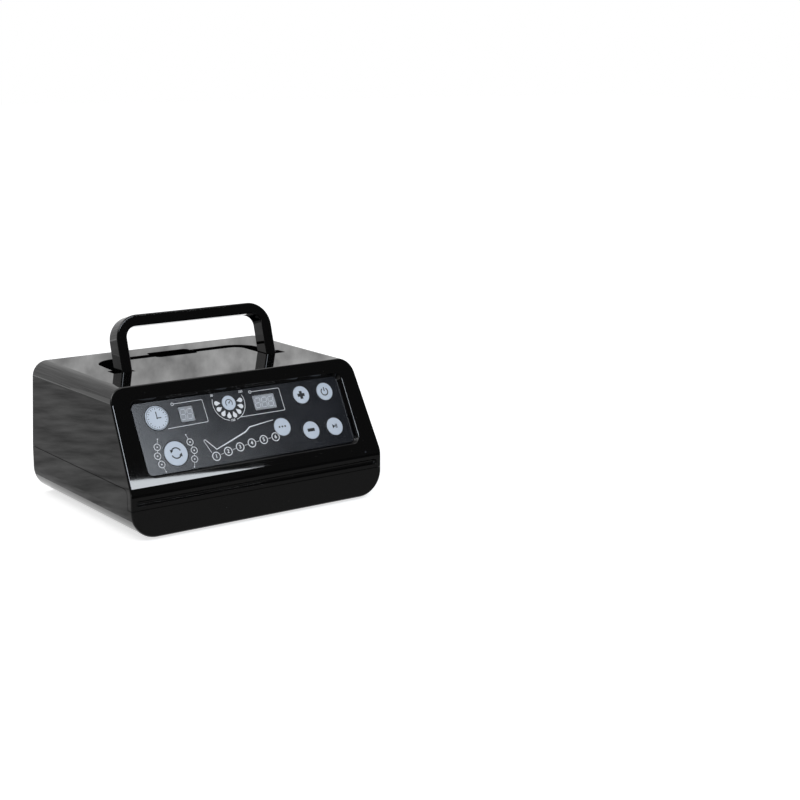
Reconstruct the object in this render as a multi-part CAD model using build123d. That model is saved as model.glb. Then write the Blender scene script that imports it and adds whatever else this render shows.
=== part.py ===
from build123d import *
from math import acos, cos, hypot, radians, sin, tan
import os

# Compression therapy pump: a console with a sloping button panel and a bail handle that folds into its top.
# Millimetres. X runs along the front, Y to the back, Z up. The origin is under the middle of the case,
# on the surface that the feet stand on.

# ---- case -------------------------------------------------------------------------------------------
case_width = 363.0             # at the seam and below it
case_depth = 281.5
case_height = 173.2            # without the feet
side_lean = 5.2                # how far each side has leaned in at the top
lean_start_radius = 150.0      # how softly it starts to lean at the seam
upper_corner_radius = 20.5     # the long edges that run front to back
lower_corner_radius = 33.0
front_face_height = 58.2       # upright part of the front, below the slope
front_setback = 63.5           # how far the slope leans back
lip_radius = 22.0              # where the slope turns into the upright front
rim_radius = 2.6               # all round the front and the slope
back_rim_radius = 3.0
wall = 3.0
foot_height = 3.5

# seam between the two housings
seam_height = 61.2             # along the sides and the back
tongue_height = 36.4           # lower end of the upper housing's front, above the case's bottom
tongue_depth = 10.5            # how far that front reaches back along the sides
seam_gap = 0.8
seam_corner_radius = 8.0
lap_thickness = 1.8
lap_overlap = 2.0
lap_root = 5.0                 # how far the lap reaches down behind the lower housing's own edge

# groove across the front
groove_height = 44.9           # its middle, above the case's bottom
groove_width = 6.6             # half round
groove_inset = 7.5             # from each side of the case
groove_edge_radius = 0.6
groove_wall = 2.0

# ---- panel on the slope -----------------------------------------------------------------------------
pocket_from_side = 28.0        # from each side of the case
pocket_bottom = 15.0           # up the slope, from its lower edge
pocket_top = 114.0
pocket_corner_radius = 10.8
pocket_depth = 7.2
pocket_wall_run = 3.8          # how far the pocket's walls lean inwards on their way down
pocket_rim_radius = 1.6
pocket_floor = 3.0
pocket_backing_margin = 5.0    # thicker wall round the pocket
overlay_thickness = 1.0
overlay_edge_gap = 0.15
key_gap = 0.25
key_height = 0.6               # above the overlay
key_edge_radius = 0.4
key_flange = 1.6
key_flange_thickness = 2.0
key_stem_radius = 3.0
key_travel = 1.0
touch_gap = 0.05               # between pieces that meet
lens_gap = 0.1
board_depth = 24.0             # control board's front, below the surface of the slope
board_thickness = 1.6
board_height = 90.0
board_from_overlay = 3.55      # its ends, in from the overlay's
board_post_radius = 3.2
board_screw_radius = 1.2
board_screw_gap = 0.2
board_screw_bite = 6.0
board_low_posts = ((6.0, 6.0), (6.0, 6.0))     # from the board's end, and the overlay's lower edge
board_high_posts = ((6.0, 4.0), (3.0, 4.0))    # from the board's end, and the overlay's upper edge
board_middle_posts = ((66.0, 5.0), (4.0, 4.0))   # across, and from the overlay's lower, then upper edge
board_lamp_size = (3.2, 1.6, 1.2)
board_chip_places = ((-60.0, 60.0), (10.0, 62.0), (60.0, 62.0), (-100.0, 62.0), (100.0, 66.0))
board_chip_sizes = ((16.0, 16.0, 1.8), (12.0, 8.0, 1.6), (30.0, 6.0, 9.0), (24.0, 6.0, 9.0), (14.0, 14.0, 8.0))
small_head_radius = 2.5        # heads of the screws that hold the boards
small_head_height = 1.6
switch_size = 6.0
switch_height = 3.5
switch_plunger_height = 1.5
switch_plunger_radius = 1.75

large_key = 31.0
small_key = 23.5
dial_key = 19.0
time_key_inset = (30.0, 21.0)            # from the overlay's left and upper edges
mode_key_inset = (42.5, 22.8)            # from its left and lower edges
pressure_key_place = (-17.0, 15.2)       # across, and from its upper edge
option_key_inset = (100.55, 34.6)        # from its right and lower edges
key_columns = (59.8, 23.5)               # the four keys at the right, from its right edge
key_rows = (18.5, 24.3)                  # and from its upper and lower edges
display_module_depth = 8.0
display_rim = 2.0
display_header_inset = 2.0
display_nose_gap = 0.2
window_ledge = 1.0
window_corner_radius = 1.2
time_window_size = (21.6, 21.7)
time_window_inset = (71.5, 21.0)         # from the overlay's left and upper edges
pressure_window_size = (33.6, 21.4)
pressure_window_inset = (34.3, 20.2)     # across, and from its upper edge

mode_lamp_diameter = 7.2
mode_lamp_circle = 25.0        # radius about the mode key
mode_lamp_step = 26.0          # degrees
chamber_lamp_count = 6
chamber_row_insets = (95.55, 114.05)     # first and last lamp, from the overlay's left and right edges
chamber_row_height = 11.0      # first lamp, above the overlay's lower edge
chamber_lamp_diameter = 9.4
chamber_lamp_rise = 4.15       # how fast the row climbs at its left end, and how fast that fades
chamber_lamp_sag = 0.335
pressure_lamp_count = 8
pressure_lamp_radius = 2.9
pressure_lamp_circle = 17.4
pressure_lamp_tip = 11.6
pressure_lamp_step = 27.4      # degrees
status_lamp_radius = 1.3
status_lamp_from_edge = 24.5
status_lamp_turn = 18.0        # degrees round the lip from the upright front
status_lamp_rise = 0.3

# ---- handle -----------------------------------------------------------------------------------------
handle_width = 228.0
handle_bar = 14.6              # thickness of the bar and the legs, seen from the front
handle_depth = 24.2
handle_reach = 78.2            # pivot axis to the outside of the bar
handle_outer_radius = 32.0
handle_inner_radius = 15.0
handle_edge_radius = 2.2
handle_pivot_from_front = 154.4
handle_pivot_drop = 9.6        # pivot axis below the top, and from the handle's front face
handle_lean = 15.9             # degrees behind the upright, where it rests
handle_foot_radius = 9.4       # pivot axis to the lower end of each leg
handle_foot_corner_radius = 9.0
pin_radius = 3.0
pin_clearance = 0.05
pin_grip = 6.0                 # how far each pin goes into the housing on both sides
spacer_radius = 7.0
spacer_gap = 0.3
well_side_clearance = 1.2
well_end_clearance = 0.9
well_inner_clearance = 2.0
well_depth = 25.5
well_wall = 2.5
well_rim_radius = 0.7
foot_pocket_width = 29.3
foot_pocket_length = 19.2
foot_pocket_front_gap = 0.5
foot_pocket_corner_radius = 2.0
arm_flare = 4.3                # the well's arms are this much wider at the foot pockets
notch_width = 61.0
notch_behind = 11.0            # finger notch, behind the bar and in front of it
notch_before = 7.0
notch_corner_radius = 6.0

# ---- rear panel and what it carries -----------------------------------------------------------------
rear_panel_from_side = 31.5
rear_panel_bottom = 18.0       # above the case's bottom
rear_panel_top = 128.0
rear_panel_thickness = 2.5
rear_panel_overlap = 10.0
rear_screw_radius = 1.5
rear_screw_head_radius = 2.9
rear_screw_head_height = 1.5
rear_screw_sink = 1.8
rear_screw_insets = (14.0, 12.0)         # from the rear panel's lower and upper edges
rear_panel_slot = (0.5, 5.0)             # room in the lap beside and in front of the rear panel
rear_row_edge = 12.0           # from the rear panel's side to the first and the last fitting
rear_row_gap = 3.0             # between the inlet, the fan and the two hose sockets
cut_gap = 0.2                  # round what sits in a cut of the rear panel

ports_per_socket = 6
port_radius = 3.4
port_length = 12.0
port_throat_radius = 2.0
air_line_height = 88.0         # ports, hoses and valves, above the case's bottom
socket_margin = 3.5
socket_height = 22.0
socket_length = 18.0
socket_flange = 3.0
socket_flange_thickness = 2.5
nozzle_radius = 3.0
nozzle_length = 8.0
nozzle_bore = 2.0
nozzle_bore_depth = 4.0
hose_wall = 1.0
hose_end_gap = 0.5

inlet_height = 72.0
inlet_width = 48.0
inlet_tall = 58.0
inlet_flange = 2.0
inlet_body_inset = 2.0
inlet_corner_radius = 3.0
inlet_body_length = 27.0
socket_hole_width = 24.6
socket_hole_tall = 16.8
socket_hole_depth = 16.0
socket_hole_drop = 13.5
socket_hole_chamfer = 4.0
blade_length = 10.0
blade_width = 2.0
blade_tall = 4.0
blade_spread = 7.0
blade_root = 4.0
side_blade_rise = 1.5
middle_blade_drop = 2.5
fuse_width = 22.0
fuse_tall = 8.0
fuse_length = 18.0
fuse_rise = 2.5
fuse_gap = 0.3
fuse_proud = 0.4
fuse_notch = (8.0, 2.0, 1.2)
rocker_width = 19.0
rocker_tall = 11.6
rocker_length = 9.0
rocker_gap = 1.2
rocker_side_gap = 0.3
rocker_room = 6.0              # behind the rocker
rocker_dip = 1.2
rocker_sink = 1.0
rocker_rise = 17.5
rocker_tilt = 8.0              # degrees either side of level
rocker_pin_radius = 1.2
rocker_pin_reach = 2.0

fan_size = 60.0
fan_depth = 15.0
fan_height = 72.0
fan_corner_radius = 4.0
fan_bearing = 3.0
fan_spoke_width = 4.0
fan_hole_radius = 27.5
fan_hub_radius = 12.0
fan_blades = 7
fan_blade_gap = 1.0
fan_blade_thickness = 1.6
fan_blade_chord = 9.0
fan_blade_angle = 55.0         # degrees
fan_rotor_gap = 0.5
fan_front_gap = 1.5
fan_shaft_radius = 1.5
fan_screw_spacing = 50.0
fan_screw_radius = 1.6
fan_screw_length = 14.5
fan_screw_head_radius = 2.8
fan_screw_head_height = 1.4
grille_slot = 4.0
grille_pitch = 7.5
grille_margin = 1.5
grille_bar = 4.0

# ---- fasteners and feet -----------------------------------------------------------------------------
post_gap = 2.0                 # between the posts and the ends of the control board
post_radius = 5.5
post_rows = (-100.0, 0.0, 100.0)
case_screw_radius = 1.8
case_screw_head_radius = 3.6
case_screw_head_height = 2.6
case_screw_sink = 8.0
case_screw_bite = 14.0
head_gap = 0.4                 # round a sunk screw head
drive_radius = 1.4
drive_depth = 1.2
foot_radius = 9.0
foot_from_side = 55.0
foot_from_front = 40.0
foot_recess = 1.5
foot_recess_gap = 0.2
foot_edge_radius = 1.0
foot_boss_radius = 5.3
foot_boss_height = 6.0
foot_screw_seat = 2.4          # underside to the screw's seat in the foot
foot_screw_radius = 1.5
foot_screw_length = 6.0
foot_screw_head_radius = 2.8
foot_screw_head_height = 1.6
vent_center_x = 80.0
vent_from_front = 48.0
vent_slot_length = 36.0
vent_slot_width = 3.0
vent_slot_pitch = 8.0
vent_slot_count = 9

# ---- pump, valves and mains board -------------------------------------------------------------------
pump_from_left = 75.0          # middle of the pump, from the left wall
pump_y = -5.0
pump_length = 124.0
pump_width = 76.0
pump_plate = 3.0
pump_mount_height = 10.0
pump_mount_radius = 8.0
pump_mount_waist = 2.0
pump_mount_inset = 12.0
pump_screw_radius = 2.0
pump_screw_end = 0.5           # from the case's underside
pump_nut_radius = 4.0
pump_nut_height = 3.0
pump_axis_height = 32.0        # above its plate
pump_rail = 4.0
pump_rail_height = 58.0
pump_rail_inset = 22.0
head_radius = 27.0
head_length = 18.0
head_wall = 3.0
head_foot_width = 24.0
neck_radius = 5.0
neck_rise = 4.0
armature_end_gap = 2.0         # between its bar and each head
armature_width = 9.0
armature_tall = 24.0
armature_travel = 0.8
armature_air_gap = 1.5
disc_radius = 21.0
disc_thickness = 2.0
disc_edge_gap = 1.5
disc_rod_radius = 5.0
rod_gap = 0.5
magnet_length = 16.0
magnet_spread = 18.0
magnet_inset = 3.0
coil_length = 44.0
coil_tall = 40.0
coil_corner_radius = 4.0
core_margin = 6.0
chamber_height = 12.0
chamber_width = 40.0
chamber_corner_radius = 4.0
hose_bend = 14.0

manifold_y = -46.0
manifold_depth = 20.0
manifold_tall = 18.0
manifold_margin = 8.0
valve_gap = 0.94
valve_depth = 18.0
valve_tall = 25.0
valve_cap_radius = 3.0
valve_cap_height = 2.0
bracket_sheet = 2.0
bracket_foot = 14.0

mains_board_size = (136.0, 66.0)
mains_board_from_right = 18.0
mains_board_y = 57.0
mains_board_lift = 7.0
mains_post_inset = 6.0
mains_post_radius = 4.0
transformer_size = (38.0, 32.0, 28.0)
winding_radius = 12.7
winding_overhang = 5.0
capacitor_radius = 9.0
capacitor_height = 26.0
capacitor_edge_radius = 1.0

# ---- values that follow from the ones above ---------------------------------------------------------
front_y = -case_depth / 2
back_y = case_depth / 2
left_x = -case_width / 2
right_x = case_width / 2
bottom_z = foot_height
top_z = bottom_z + case_height
floor_z = bottom_z + wall
break_z = bottom_z + front_face_height
seam_z = bottom_z + seam_height
tongue_z = bottom_z + tongue_height
tongue_y = front_y + tongue_depth
slope_rise = case_height - front_face_height
slope_length = hypot(front_setback, slope_rise)
lean_cos = slope_rise / slope_length
lean_sin = front_setback / slope_length
panel = Plane(origin=(0, front_y, break_z), x_dir=(1, 0, 0), z_dir=(0, -lean_cos, lean_sin))

overlay_z = overlay_thickness - pocket_depth      # surface of the overlay, on the panel plane
floor_top = -pocket_depth
floor_under = -pocket_depth - pocket_floor
pocket_width = case_width - 2 * pocket_from_side
floor_width = pocket_width - 2 * pocket_wall_run
floor_tall = pocket_top - pocket_bottom - 2 * pocket_wall_run
floor_corner_radius = pocket_corner_radius - pocket_wall_run
pocket_middle = (pocket_top + pocket_bottom) / 2
overlay_width = floor_width - 2 * overlay_edge_gap
overlay_tall = floor_tall - 2 * overlay_edge_gap
overlay_corner_radius = floor_corner_radius - overlay_edge_gap
overlay_left = -overlay_width / 2
overlay_right = overlay_width / 2
overlay_low = pocket_middle - overlay_tall / 2
overlay_high = pocket_middle + overlay_tall / 2

# keys: place on the panel plane and diameter
inner_column, outer_column = [overlay_right - inset for inset in key_columns]
upper_row = overlay_high - key_rows[0]
lower_row = overlay_low + key_rows[1]
keys = {
    "time_key": (overlay_left + time_key_inset[0], overlay_high - time_key_inset[1], large_key),
    "mode_key": (overlay_left + mode_key_inset[0], overlay_low + mode_key_inset[1], large_key),
    "pressure_key": (pressure_key_place[0], overlay_high - pressure_key_place[1], dial_key),
    "option_key": (overlay_right - option_key_inset[0], overlay_low + option_key_inset[1], small_key),
    "plus_key": (inner_column, upper_row, small_key),
    "minus_key": (inner_column, lower_row, small_key),
    "power_key": (outer_column, upper_row, small_key),
    "start_key": (outer_column, lower_row, small_key),
}
time_window_place = (overlay_left + time_window_inset[0], overlay_high - time_window_inset[1])
pressure_window_place = (pressure_window_inset[0], overlay_high - pressure_window_inset[1])
chamber_row_left = overlay_left + chamber_row_insets[0]
chamber_row_right = overlay_right - chamber_row_insets[1]
chamber_lamp_pitch = (chamber_row_right - chamber_row_left) / (chamber_lamp_count - 1)

board_width = overlay_width - 2 * board_from_overlay
board_ends = (-board_width / 2, board_width / 2)
board_posts = [(board_ends[0] + board_low_posts[0][0], overlay_low + board_low_posts[0][1]),
               (board_ends[1] - board_low_posts[1][0], overlay_low + board_low_posts[1][1]),
               (board_middle_posts[0][0], overlay_low + board_middle_posts[0][1]),
               (board_ends[0] + board_high_posts[0][0], overlay_high - board_high_posts[0][1]),
               (board_ends[1] - board_high_posts[1][0], overlay_high - board_high_posts[1][1]),
               (board_middle_posts[1][0], overlay_high - board_middle_posts[1][1])]
post_x = board_width / 2 + post_gap + post_radius

pivot_y = front_y + handle_pivot_from_front
pivot_z = top_z - handle_pivot_drop
handle_x = handle_width / 2
pivot = Vector(0, pivot_y, pivot_z)

rear_inner_y = back_y - wall
rear_panel_y = rear_inner_y - rear_panel_thickness
rear_low_z = bottom_z + rear_panel_bottom
rear_high_z = bottom_z + rear_panel_top
air_z = bottom_z + air_line_height
connector_face_y = back_y - 1.0
socket_back_y = connector_face_y - socket_length

# the row of fittings on the rear panel: inlet, fan and two hose sockets, which share what room is left
rear_panel_width = case_width - 2 * rear_panel_from_side
row_left = -rear_panel_width / 2 + rear_row_edge
row_right = rear_panel_width / 2 - rear_row_edge
inlet_x = row_left + inlet_width / 2
inlet_z = bottom_z + inlet_height
fan_x = row_left + inlet_width + rear_row_gap + fan_size / 2
fan_z = bottom_z + fan_height
socket_room = (row_right - (fan_x + fan_size / 2) - 2 * rear_row_gap) / 2
socket_half_width = socket_room / 2 - socket_flange
port_pitch = 2 * (socket_half_width - port_radius - socket_margin) / (ports_per_socket - 1)
socket_center_x = (row_right - 1.5 * socket_room - rear_row_gap, row_right - socket_room / 2)
valve_width = port_pitch - valve_gap

armature_length = pump_length - 2 * (head_length + armature_end_gap)

nodes = {}


# ---- small helpers ----------------------------------------------------------------------------------
def block(x, y, z):
    """A box between the two values given for each axis."""
    size = (x[1] - x[0], y[1] - y[0], z[1] - z[0])
    return Pos(x[0], y[0], z[0]) * Box(*size, align=(Align.MIN, Align.MIN, Align.MIN))


def rod(radius, start, end):
    """A cylinder from one point to another."""
    start = Vector(*start)
    along = Vector(*end) - start
    base = Plane(origin=start, z_dir=along)
    return base * Cylinder(radius, along.length, align=(Align.CENTER, Align.CENTER, Align.MIN))


def tube(outer, inner, start, end):
    return rod(outer, start, end) - rod(inner, start, end)


def on_panel(sketch, low, high):
    """A prism between two levels of the panel plane."""
    return extrude(panel * Pos(0, 0, low) * sketch, amount=high - low)


def panel_disc(x, up, radius, low, high):
    return on_panel(Pos(x, up) * Circle(radius), low, high)


def together(shapes):
    shapes = list(shapes)
    return shapes[0] + shapes[1:] if len(shapes) > 1 else shapes[0]


def sides():
    return (-1, 1)


# ---- case body --------------------------------------------------------------------------------------
def side_profile(inset):
    """The case seen from the side, drawn in by an inset."""
    front = front_y + inset
    low = bottom_z + inset
    high = top_z - inset
    knee = break_z - inset * (1 - lean_cos) / lean_sin
    brow = front_y + (inset + (high - break_z) * lean_sin) / lean_cos
    back = back_y - inset
    face = Polygon((front, low), (front, knee), (brow, high), (back, high), (back, low), align=None)
    bend = face.vertices().sort_by_distance((front, knee, 0))[0]
    return fillet(bend, max(lip_radius - inset, 1.0))


def front_section(inset):
    """The case seen from the front, drawn in by an inset. Its sides lean in above the seam."""
    half = case_width / 2 - inset
    low = bottom_z + inset
    high = top_z - inset
    narrow = half - side_lean * (high - seam_z) / (top_z - seam_z)
    outline = Polygon((-half, low), (half, low), (half, seam_z), (narrow, high), (-narrow, high),
                      (-half, seam_z), align=None)
    corners = outline.vertices().sort_by(Axis.Y)
    bends = ((corners[:2], lower_corner_radius - inset), (corners[2:4], lean_start_radius - inset),
             (corners[4:], upper_corner_radius - inset))
    for bend, radius in bends:
        outline = fillet([outline.vertices().sort_by_distance(corner)[0] for corner in bend], radius)
    return outline


def case_solid(inset):
    section = front_section(inset)
    along = extrude(Plane.XZ * section, amount=case_depth, both=True)
    across = extrude(Plane.YZ * side_profile(inset), amount=case_width, both=True)
    return along & across


def front_rim(solid):
    """The closed chain of edges round the upright front and the slope."""
    brow_y = front_y + front_setback
    rim = []
    for edge in solid.edges():
        if max(corner.Y for corner in edge.vertices()) > brow_y + 0.1:
            continue
        size = edge.bounding_box().size
        inner_line = size.X > case_width / 2 and break_z - lip_radius < edge.center().Z < top_z - lip_radius
        if not inner_line:
            rim.append(edge)
    return rim


def rounded_case():
    solid = fillet(front_rim(case_solid(0)), rim_radius)
    back = [edge for edge in solid.edges() if min(corner.Y for corner in edge.vertices()) > back_y - 0.1]
    return fillet(back, back_rim_radius)


def seam_region(upper, shift):
    """Everything above or below the seam moved up by a shift, as a prism across the case."""
    reach = case_depth
    low = tongue_z + shift
    high = seam_z + shift
    turn = tongue_y - shift
    far = top_z + reach if upper else bottom_z - reach
    corners = ((front_y - reach, far), (front_y - reach, low), (turn, low), (turn, high),
               (back_y + reach, high), (back_y + reach, far))
    face = Polygon(*corners, align=None)
    bend = face.vertices().sort_by_distance((turn, high, 0))[0]
    face = fillet(bend, seam_corner_radius + shift)
    return extrude(Plane.YZ * face, amount=case_width, both=True)


# ---- handle well ------------------------------------------------------------------------------------
def well_outline(grow):
    """The U-shaped well with its foot pockets and finger notch, seen from above, grown by a margin."""
    front = pivot_y - handle_pivot_drop - foot_pocket_front_gap
    back = pivot_y + handle_reach + well_end_clearance
    half = handle_x + well_side_clearance
    inner = handle_x - handle_bar - well_inner_clearance
    island_back = pivot_y + handle_reach - handle_bar - well_inner_clearance
    shoulder = front + foot_pocket_length
    outline = Polygon((-half - arm_flare, front), (half + arm_flare, front), (half + arm_flare, shoulder),
                      (half, back), (-half, back), (-half - arm_flare, shoulder), align=None)
    backs = outline.vertices().sort_by(Axis.Y)[-2:]
    outline = fillet(backs, handle_outer_radius + well_side_clearance)
    island_low = front - case_depth
    island = Pos(0, (island_low + island_back) / 2) * Rectangle(2 * inner, island_back - island_low)
    island = fillet(island.vertices().sort_by(Axis.Y)[-2:], handle_inner_radius + 1.0)
    parts = outline - island
    pocket = RectangleRounded(foot_pocket_width, foot_pocket_length, foot_pocket_corner_radius)
    for side in sides():
        parts += Pos(side * (inner + foot_pocket_width / 2), front + foot_pocket_length / 2) * pocket
    notch_low = island_back - notch_before
    notch_high = back + notch_behind
    notch = RectangleRounded(notch_width, notch_high - notch_low, notch_corner_radius)
    parts += Pos(0, (notch_low + notch_high) / 2) * notch
    return offset(parts, amount=grow) if grow else parts


def well_void(above):
    outline = well_outline(0)
    return extrude(Pos(0, 0, top_z - well_depth) * outline, amount=well_depth + above)


def well_shell():
    outline = well_outline(well_wall)
    height = well_depth + well_wall - wall / 2
    return extrude(Pos(0, 0, top_z - well_depth - well_wall) * outline, amount=height)


def pin_span(side):
    """Start and end of one pivot pin along X."""
    inner = handle_x - handle_bar - well_inner_clearance
    outer = inner + foot_pocket_width
    return side * (inner - pin_grip), side * (outer + pin_grip)


# ---- lamps, windows and holes of the panel ----------------------------------------------------------
def mode_lamp_places():
    x, up, _ = keys["mode_key"]
    places = []
    for side in sides():
        for step in (-1, 0, 1):
            angle = radians(step * mode_lamp_step)
            places.append((x + side * mode_lamp_circle * cos(angle), up + mode_lamp_circle * sin(angle)))
    return places


def chamber_lamp_places():
    up = overlay_low + chamber_row_height
    return [(chamber_row_left + chamber_lamp_pitch * i, up + chamber_lamp_rise * i - chamber_lamp_sag * i * i)
            for i in range(chamber_lamp_count)]


def teardrop(grow):
    """One pressure lamp: round outside, pointed towards the key, on the X axis."""
    spread = pressure_lamp_circle - pressure_lamp_tip
    radius = pressure_lamp_radius + grow
    touch = acos(radius / (spread + grow))
    x, y = radius * cos(touch), radius * sin(touch)
    point = Polygon((-spread - grow, 0), (-x, -y), (-x, y), align=None)
    return Pos(pressure_lamp_circle, 0) * (Circle(radius) + point)


def pressure_lamp_turns():
    middle = (pressure_lamp_count - 1) / 2
    return [-90 + pressure_lamp_step * (i - middle) for i in range(pressure_lamp_count)]


def pressure_lamp_sketches(grow):
    x, up, _ = keys["pressure_key"]
    return [Pos(x, up) * Rot(0, 0, turn) * teardrop(grow) for turn in pressure_lamp_turns()]


def lamp_sketches(grow):
    rings = [Pos(*place) * Circle(mode_lamp_diameter / 2 + grow) for place in mode_lamp_places()]
    rings += [Pos(*place) * Circle(chamber_lamp_diameter / 2 + grow) for place in chamber_lamp_places()]
    return rings + pressure_lamp_sketches(grow)


def window_sketch(place, size, grow):
    return Pos(*place) * RectangleRounded(size[0] + 2 * grow, size[1] + 2 * grow, window_corner_radius)


def key_holes():
    return [Pos(x, up) * Circle(diameter / 2 + key_gap) for x, up, diameter in keys.values()]


def status_lamp_disc(low, high):
    """A round prism through the lip between two levels about its surface."""
    turn = radians(status_lamp_turn)
    center_z = break_z - lip_radius * tan(acos(lean_cos) / 2)
    place = Plane(origin=(right_x - status_lamp_from_edge, front_y + lip_radius * (1 - cos(turn)),
                          center_z + lip_radius * sin(turn)),
                  x_dir=(1, 0, 0), z_dir=(0, -cos(turn), sin(turn)))
    return extrude(place * Pos(0, 0, low) * Circle(status_lamp_radius), amount=high - low)


# ---- upper housing ----------------------------------------------------------------------------------
def groove_form(grow):
    """A rod with round ends across the front, half of it in the case, grown by a margin."""
    reach = right_x - groove_inset - groove_width / 2
    radius = groove_width / 2 + grow
    z = bottom_z + groove_height
    form = rod(radius, (-reach, front_y, z), (reach, front_y, z))
    for side in sides():
        form += Pos(side * reach, front_y, z) * Sphere(radius)
    return form


def pocket_cut():
    rim = panel * Pos(0, pocket_middle) * RectangleRounded(
        pocket_width, pocket_top - pocket_bottom, pocket_corner_radius)
    base = panel * Pos(0, pocket_middle, floor_top) * RectangleRounded(
        floor_width, floor_tall, floor_corner_radius)
    return loft([base.face(), rim.face()])


def post_places():
    return [(side * post_x, row) for side in sides() for row in post_rows]


def rear_screw_places():
    x = rear_panel_width / 2 - rear_panel_overlap / 2
    heights = (rear_low_z + rear_screw_insets[0], (seam_z + rear_high_z) / 2, rear_high_z - rear_screw_insets[1])
    return [(side * x, z) for side in sides() for z in heights]


def rear_screw_holes():
    holes = []
    for x, z in rear_screw_places():
        hole = rod(rear_screw_radius, (x, rear_inner_y - 1, z), (x, back_y + 1, z))
        seat = back_y - rear_screw_sink
        holes.append(hole + rod(rear_screw_head_radius + head_gap, (x, seat, z), (x, back_y + 1, z)))
    return together(holes)


def rear_opening():
    half = rear_panel_width / 2 - rear_panel_overlap
    low = rear_low_z + rear_panel_overlap
    high = rear_high_z - rear_panel_overlap
    return block((-half, half), (rear_inner_y - 1, back_y + 1), (low, high))


def build_upper_housing(shell):
    housing = shell & seam_region(True, seam_gap / 2)

    # thicker wall behind the panel pocket, and screw posts down to the seam
    backing_width = pocket_width + 2 * pocket_backing_margin
    backing_tall = pocket_top - pocket_bottom + 2 * pocket_backing_margin
    backing = on_panel(Pos(0, pocket_middle) * Rectangle(backing_width, backing_tall), floor_under, -wall / 2)
    backing &= case_solid(wall / 2)
    posts = together(rod(post_radius, (x, y, seam_z + seam_gap / 2), (x, y, top_z)) for x, y in post_places())
    posts &= case_solid(wall / 2)
    housing = housing + backing + posts + well_shell()

    # back wall of the front groove
    housing += groove_form(groove_wall) & case_solid(wall / 2)

    # seats for the pivot pins
    for side in sides():
        start, end = pin_span(side)
        inner = side * (handle_x - handle_bar - well_inner_clearance)
        outer = inner + side * foot_pocket_width
        housing += rod(spacer_radius, (start, pivot_y, pivot_z), (inner, pivot_y, pivot_z))
        housing += rod(spacer_radius, (outer, pivot_y, pivot_z), (end, pivot_y, pivot_z))

    # posts for the control board
    housing += together(panel_disc(x, up, board_post_radius, -board_depth, floor_under)
                        for x, up in board_posts)

    housing -= pocket_cut()
    housing -= groove_form(0)
    housing -= well_void(wall)
    for side in sides():
        start, end = pin_span(side)
        housing -= rod(pin_radius, (start, pivot_y, pivot_z), (end, pivot_y, pivot_z))

    # holes of the panel: the lenses are glued into theirs
    holes = key_holes() + lamp_sketches(0)
    holes.append(window_sketch(time_window_place, time_window_size, -window_ledge))
    holes.append(window_sketch(pressure_window_place, pressure_window_size, -window_ledge))
    for hole in holes:
        housing -= on_panel(hole, floor_under - 1, floor_top + 1)
    for x, up in board_posts:
        housing -= panel_disc(x, up, board_screw_radius, -board_depth, floor_under + 1)
    housing -= status_lamp_disc(-2 * wall, 1)

    # screw holes and the opening for the rear panel
    for x, y in post_places():
        housing -= rod(case_screw_radius, (x, y, seam_z - 1), (x, y, seam_z + case_screw_bite))
    housing -= rear_opening()
    housing -= rear_screw_holes()
    return housing


def soften_upper_housing(housing):
    """Small radii on the rims that the hand and the light find."""
    surface = []
    for edge in housing.edges():
        place = panel.to_local_coords(edge.center())
        level = abs(place.Z) < 0.01 and pocket_bottom - 1 < place.Y < pocket_top + 1
        if level and abs(place.X) < pocket_width / 2 + 1:
            surface.append(edge)
    housing = fillet(surface, pocket_rim_radius)
    lip = []
    for edge in housing.edges():
        box = edge.bounding_box()
        on_front = abs(box.min.Y - front_y) < 0.01 and abs(box.max.Y - front_y) < 0.01
        near_groove = abs(box.center().Z - bottom_z - groove_height) < groove_width / 2 + 0.1
        if on_front and near_groove and max(abs(box.min.X), abs(box.max.X)) < case_width / 2 - groove_inset + 0.1:
            lip.append(edge)
    housing = fillet(lip, groove_edge_radius)
    rim = []
    for edge in housing.edges():
        box = edge.bounding_box()
        flat = abs(box.min.Z - top_z) < 0.01 and abs(box.max.Z - top_z) < 0.01
        inside = box.min.Y > pivot_y - handle_pivot_drop - 1 and box.max.Y < back_y - 2 * back_rim_radius
        if flat and inside and max(abs(box.min.X), abs(box.max.X)) < right_x - side_lean - upper_corner_radius:
            rim.append(edge)
    return fillet(rim, well_rim_radius)


# ---- lower housing ----------------------------------------------------------------------------------
def foot_places():
    return [(side * (right_x - foot_from_side), end * (back_y - foot_from_front))
            for side in sides() for end in sides()]


def pump_mount_places():
    """Across and along the pump, about its middle."""
    across = pump_width / 2 - pump_mount_inset
    along = pump_length / 2 - pump_mount_inset
    return [(side * across, end * along) for side in sides() for end in sides()]


def mains_board_posts():
    x = mains_board_size[0] / 2 - mains_post_inset
    y = mains_board_size[1] / 2 - mains_post_inset
    return [(mains_board_x + side * x, mains_board_y + end * y) for side in sides() for end in sides()]


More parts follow.
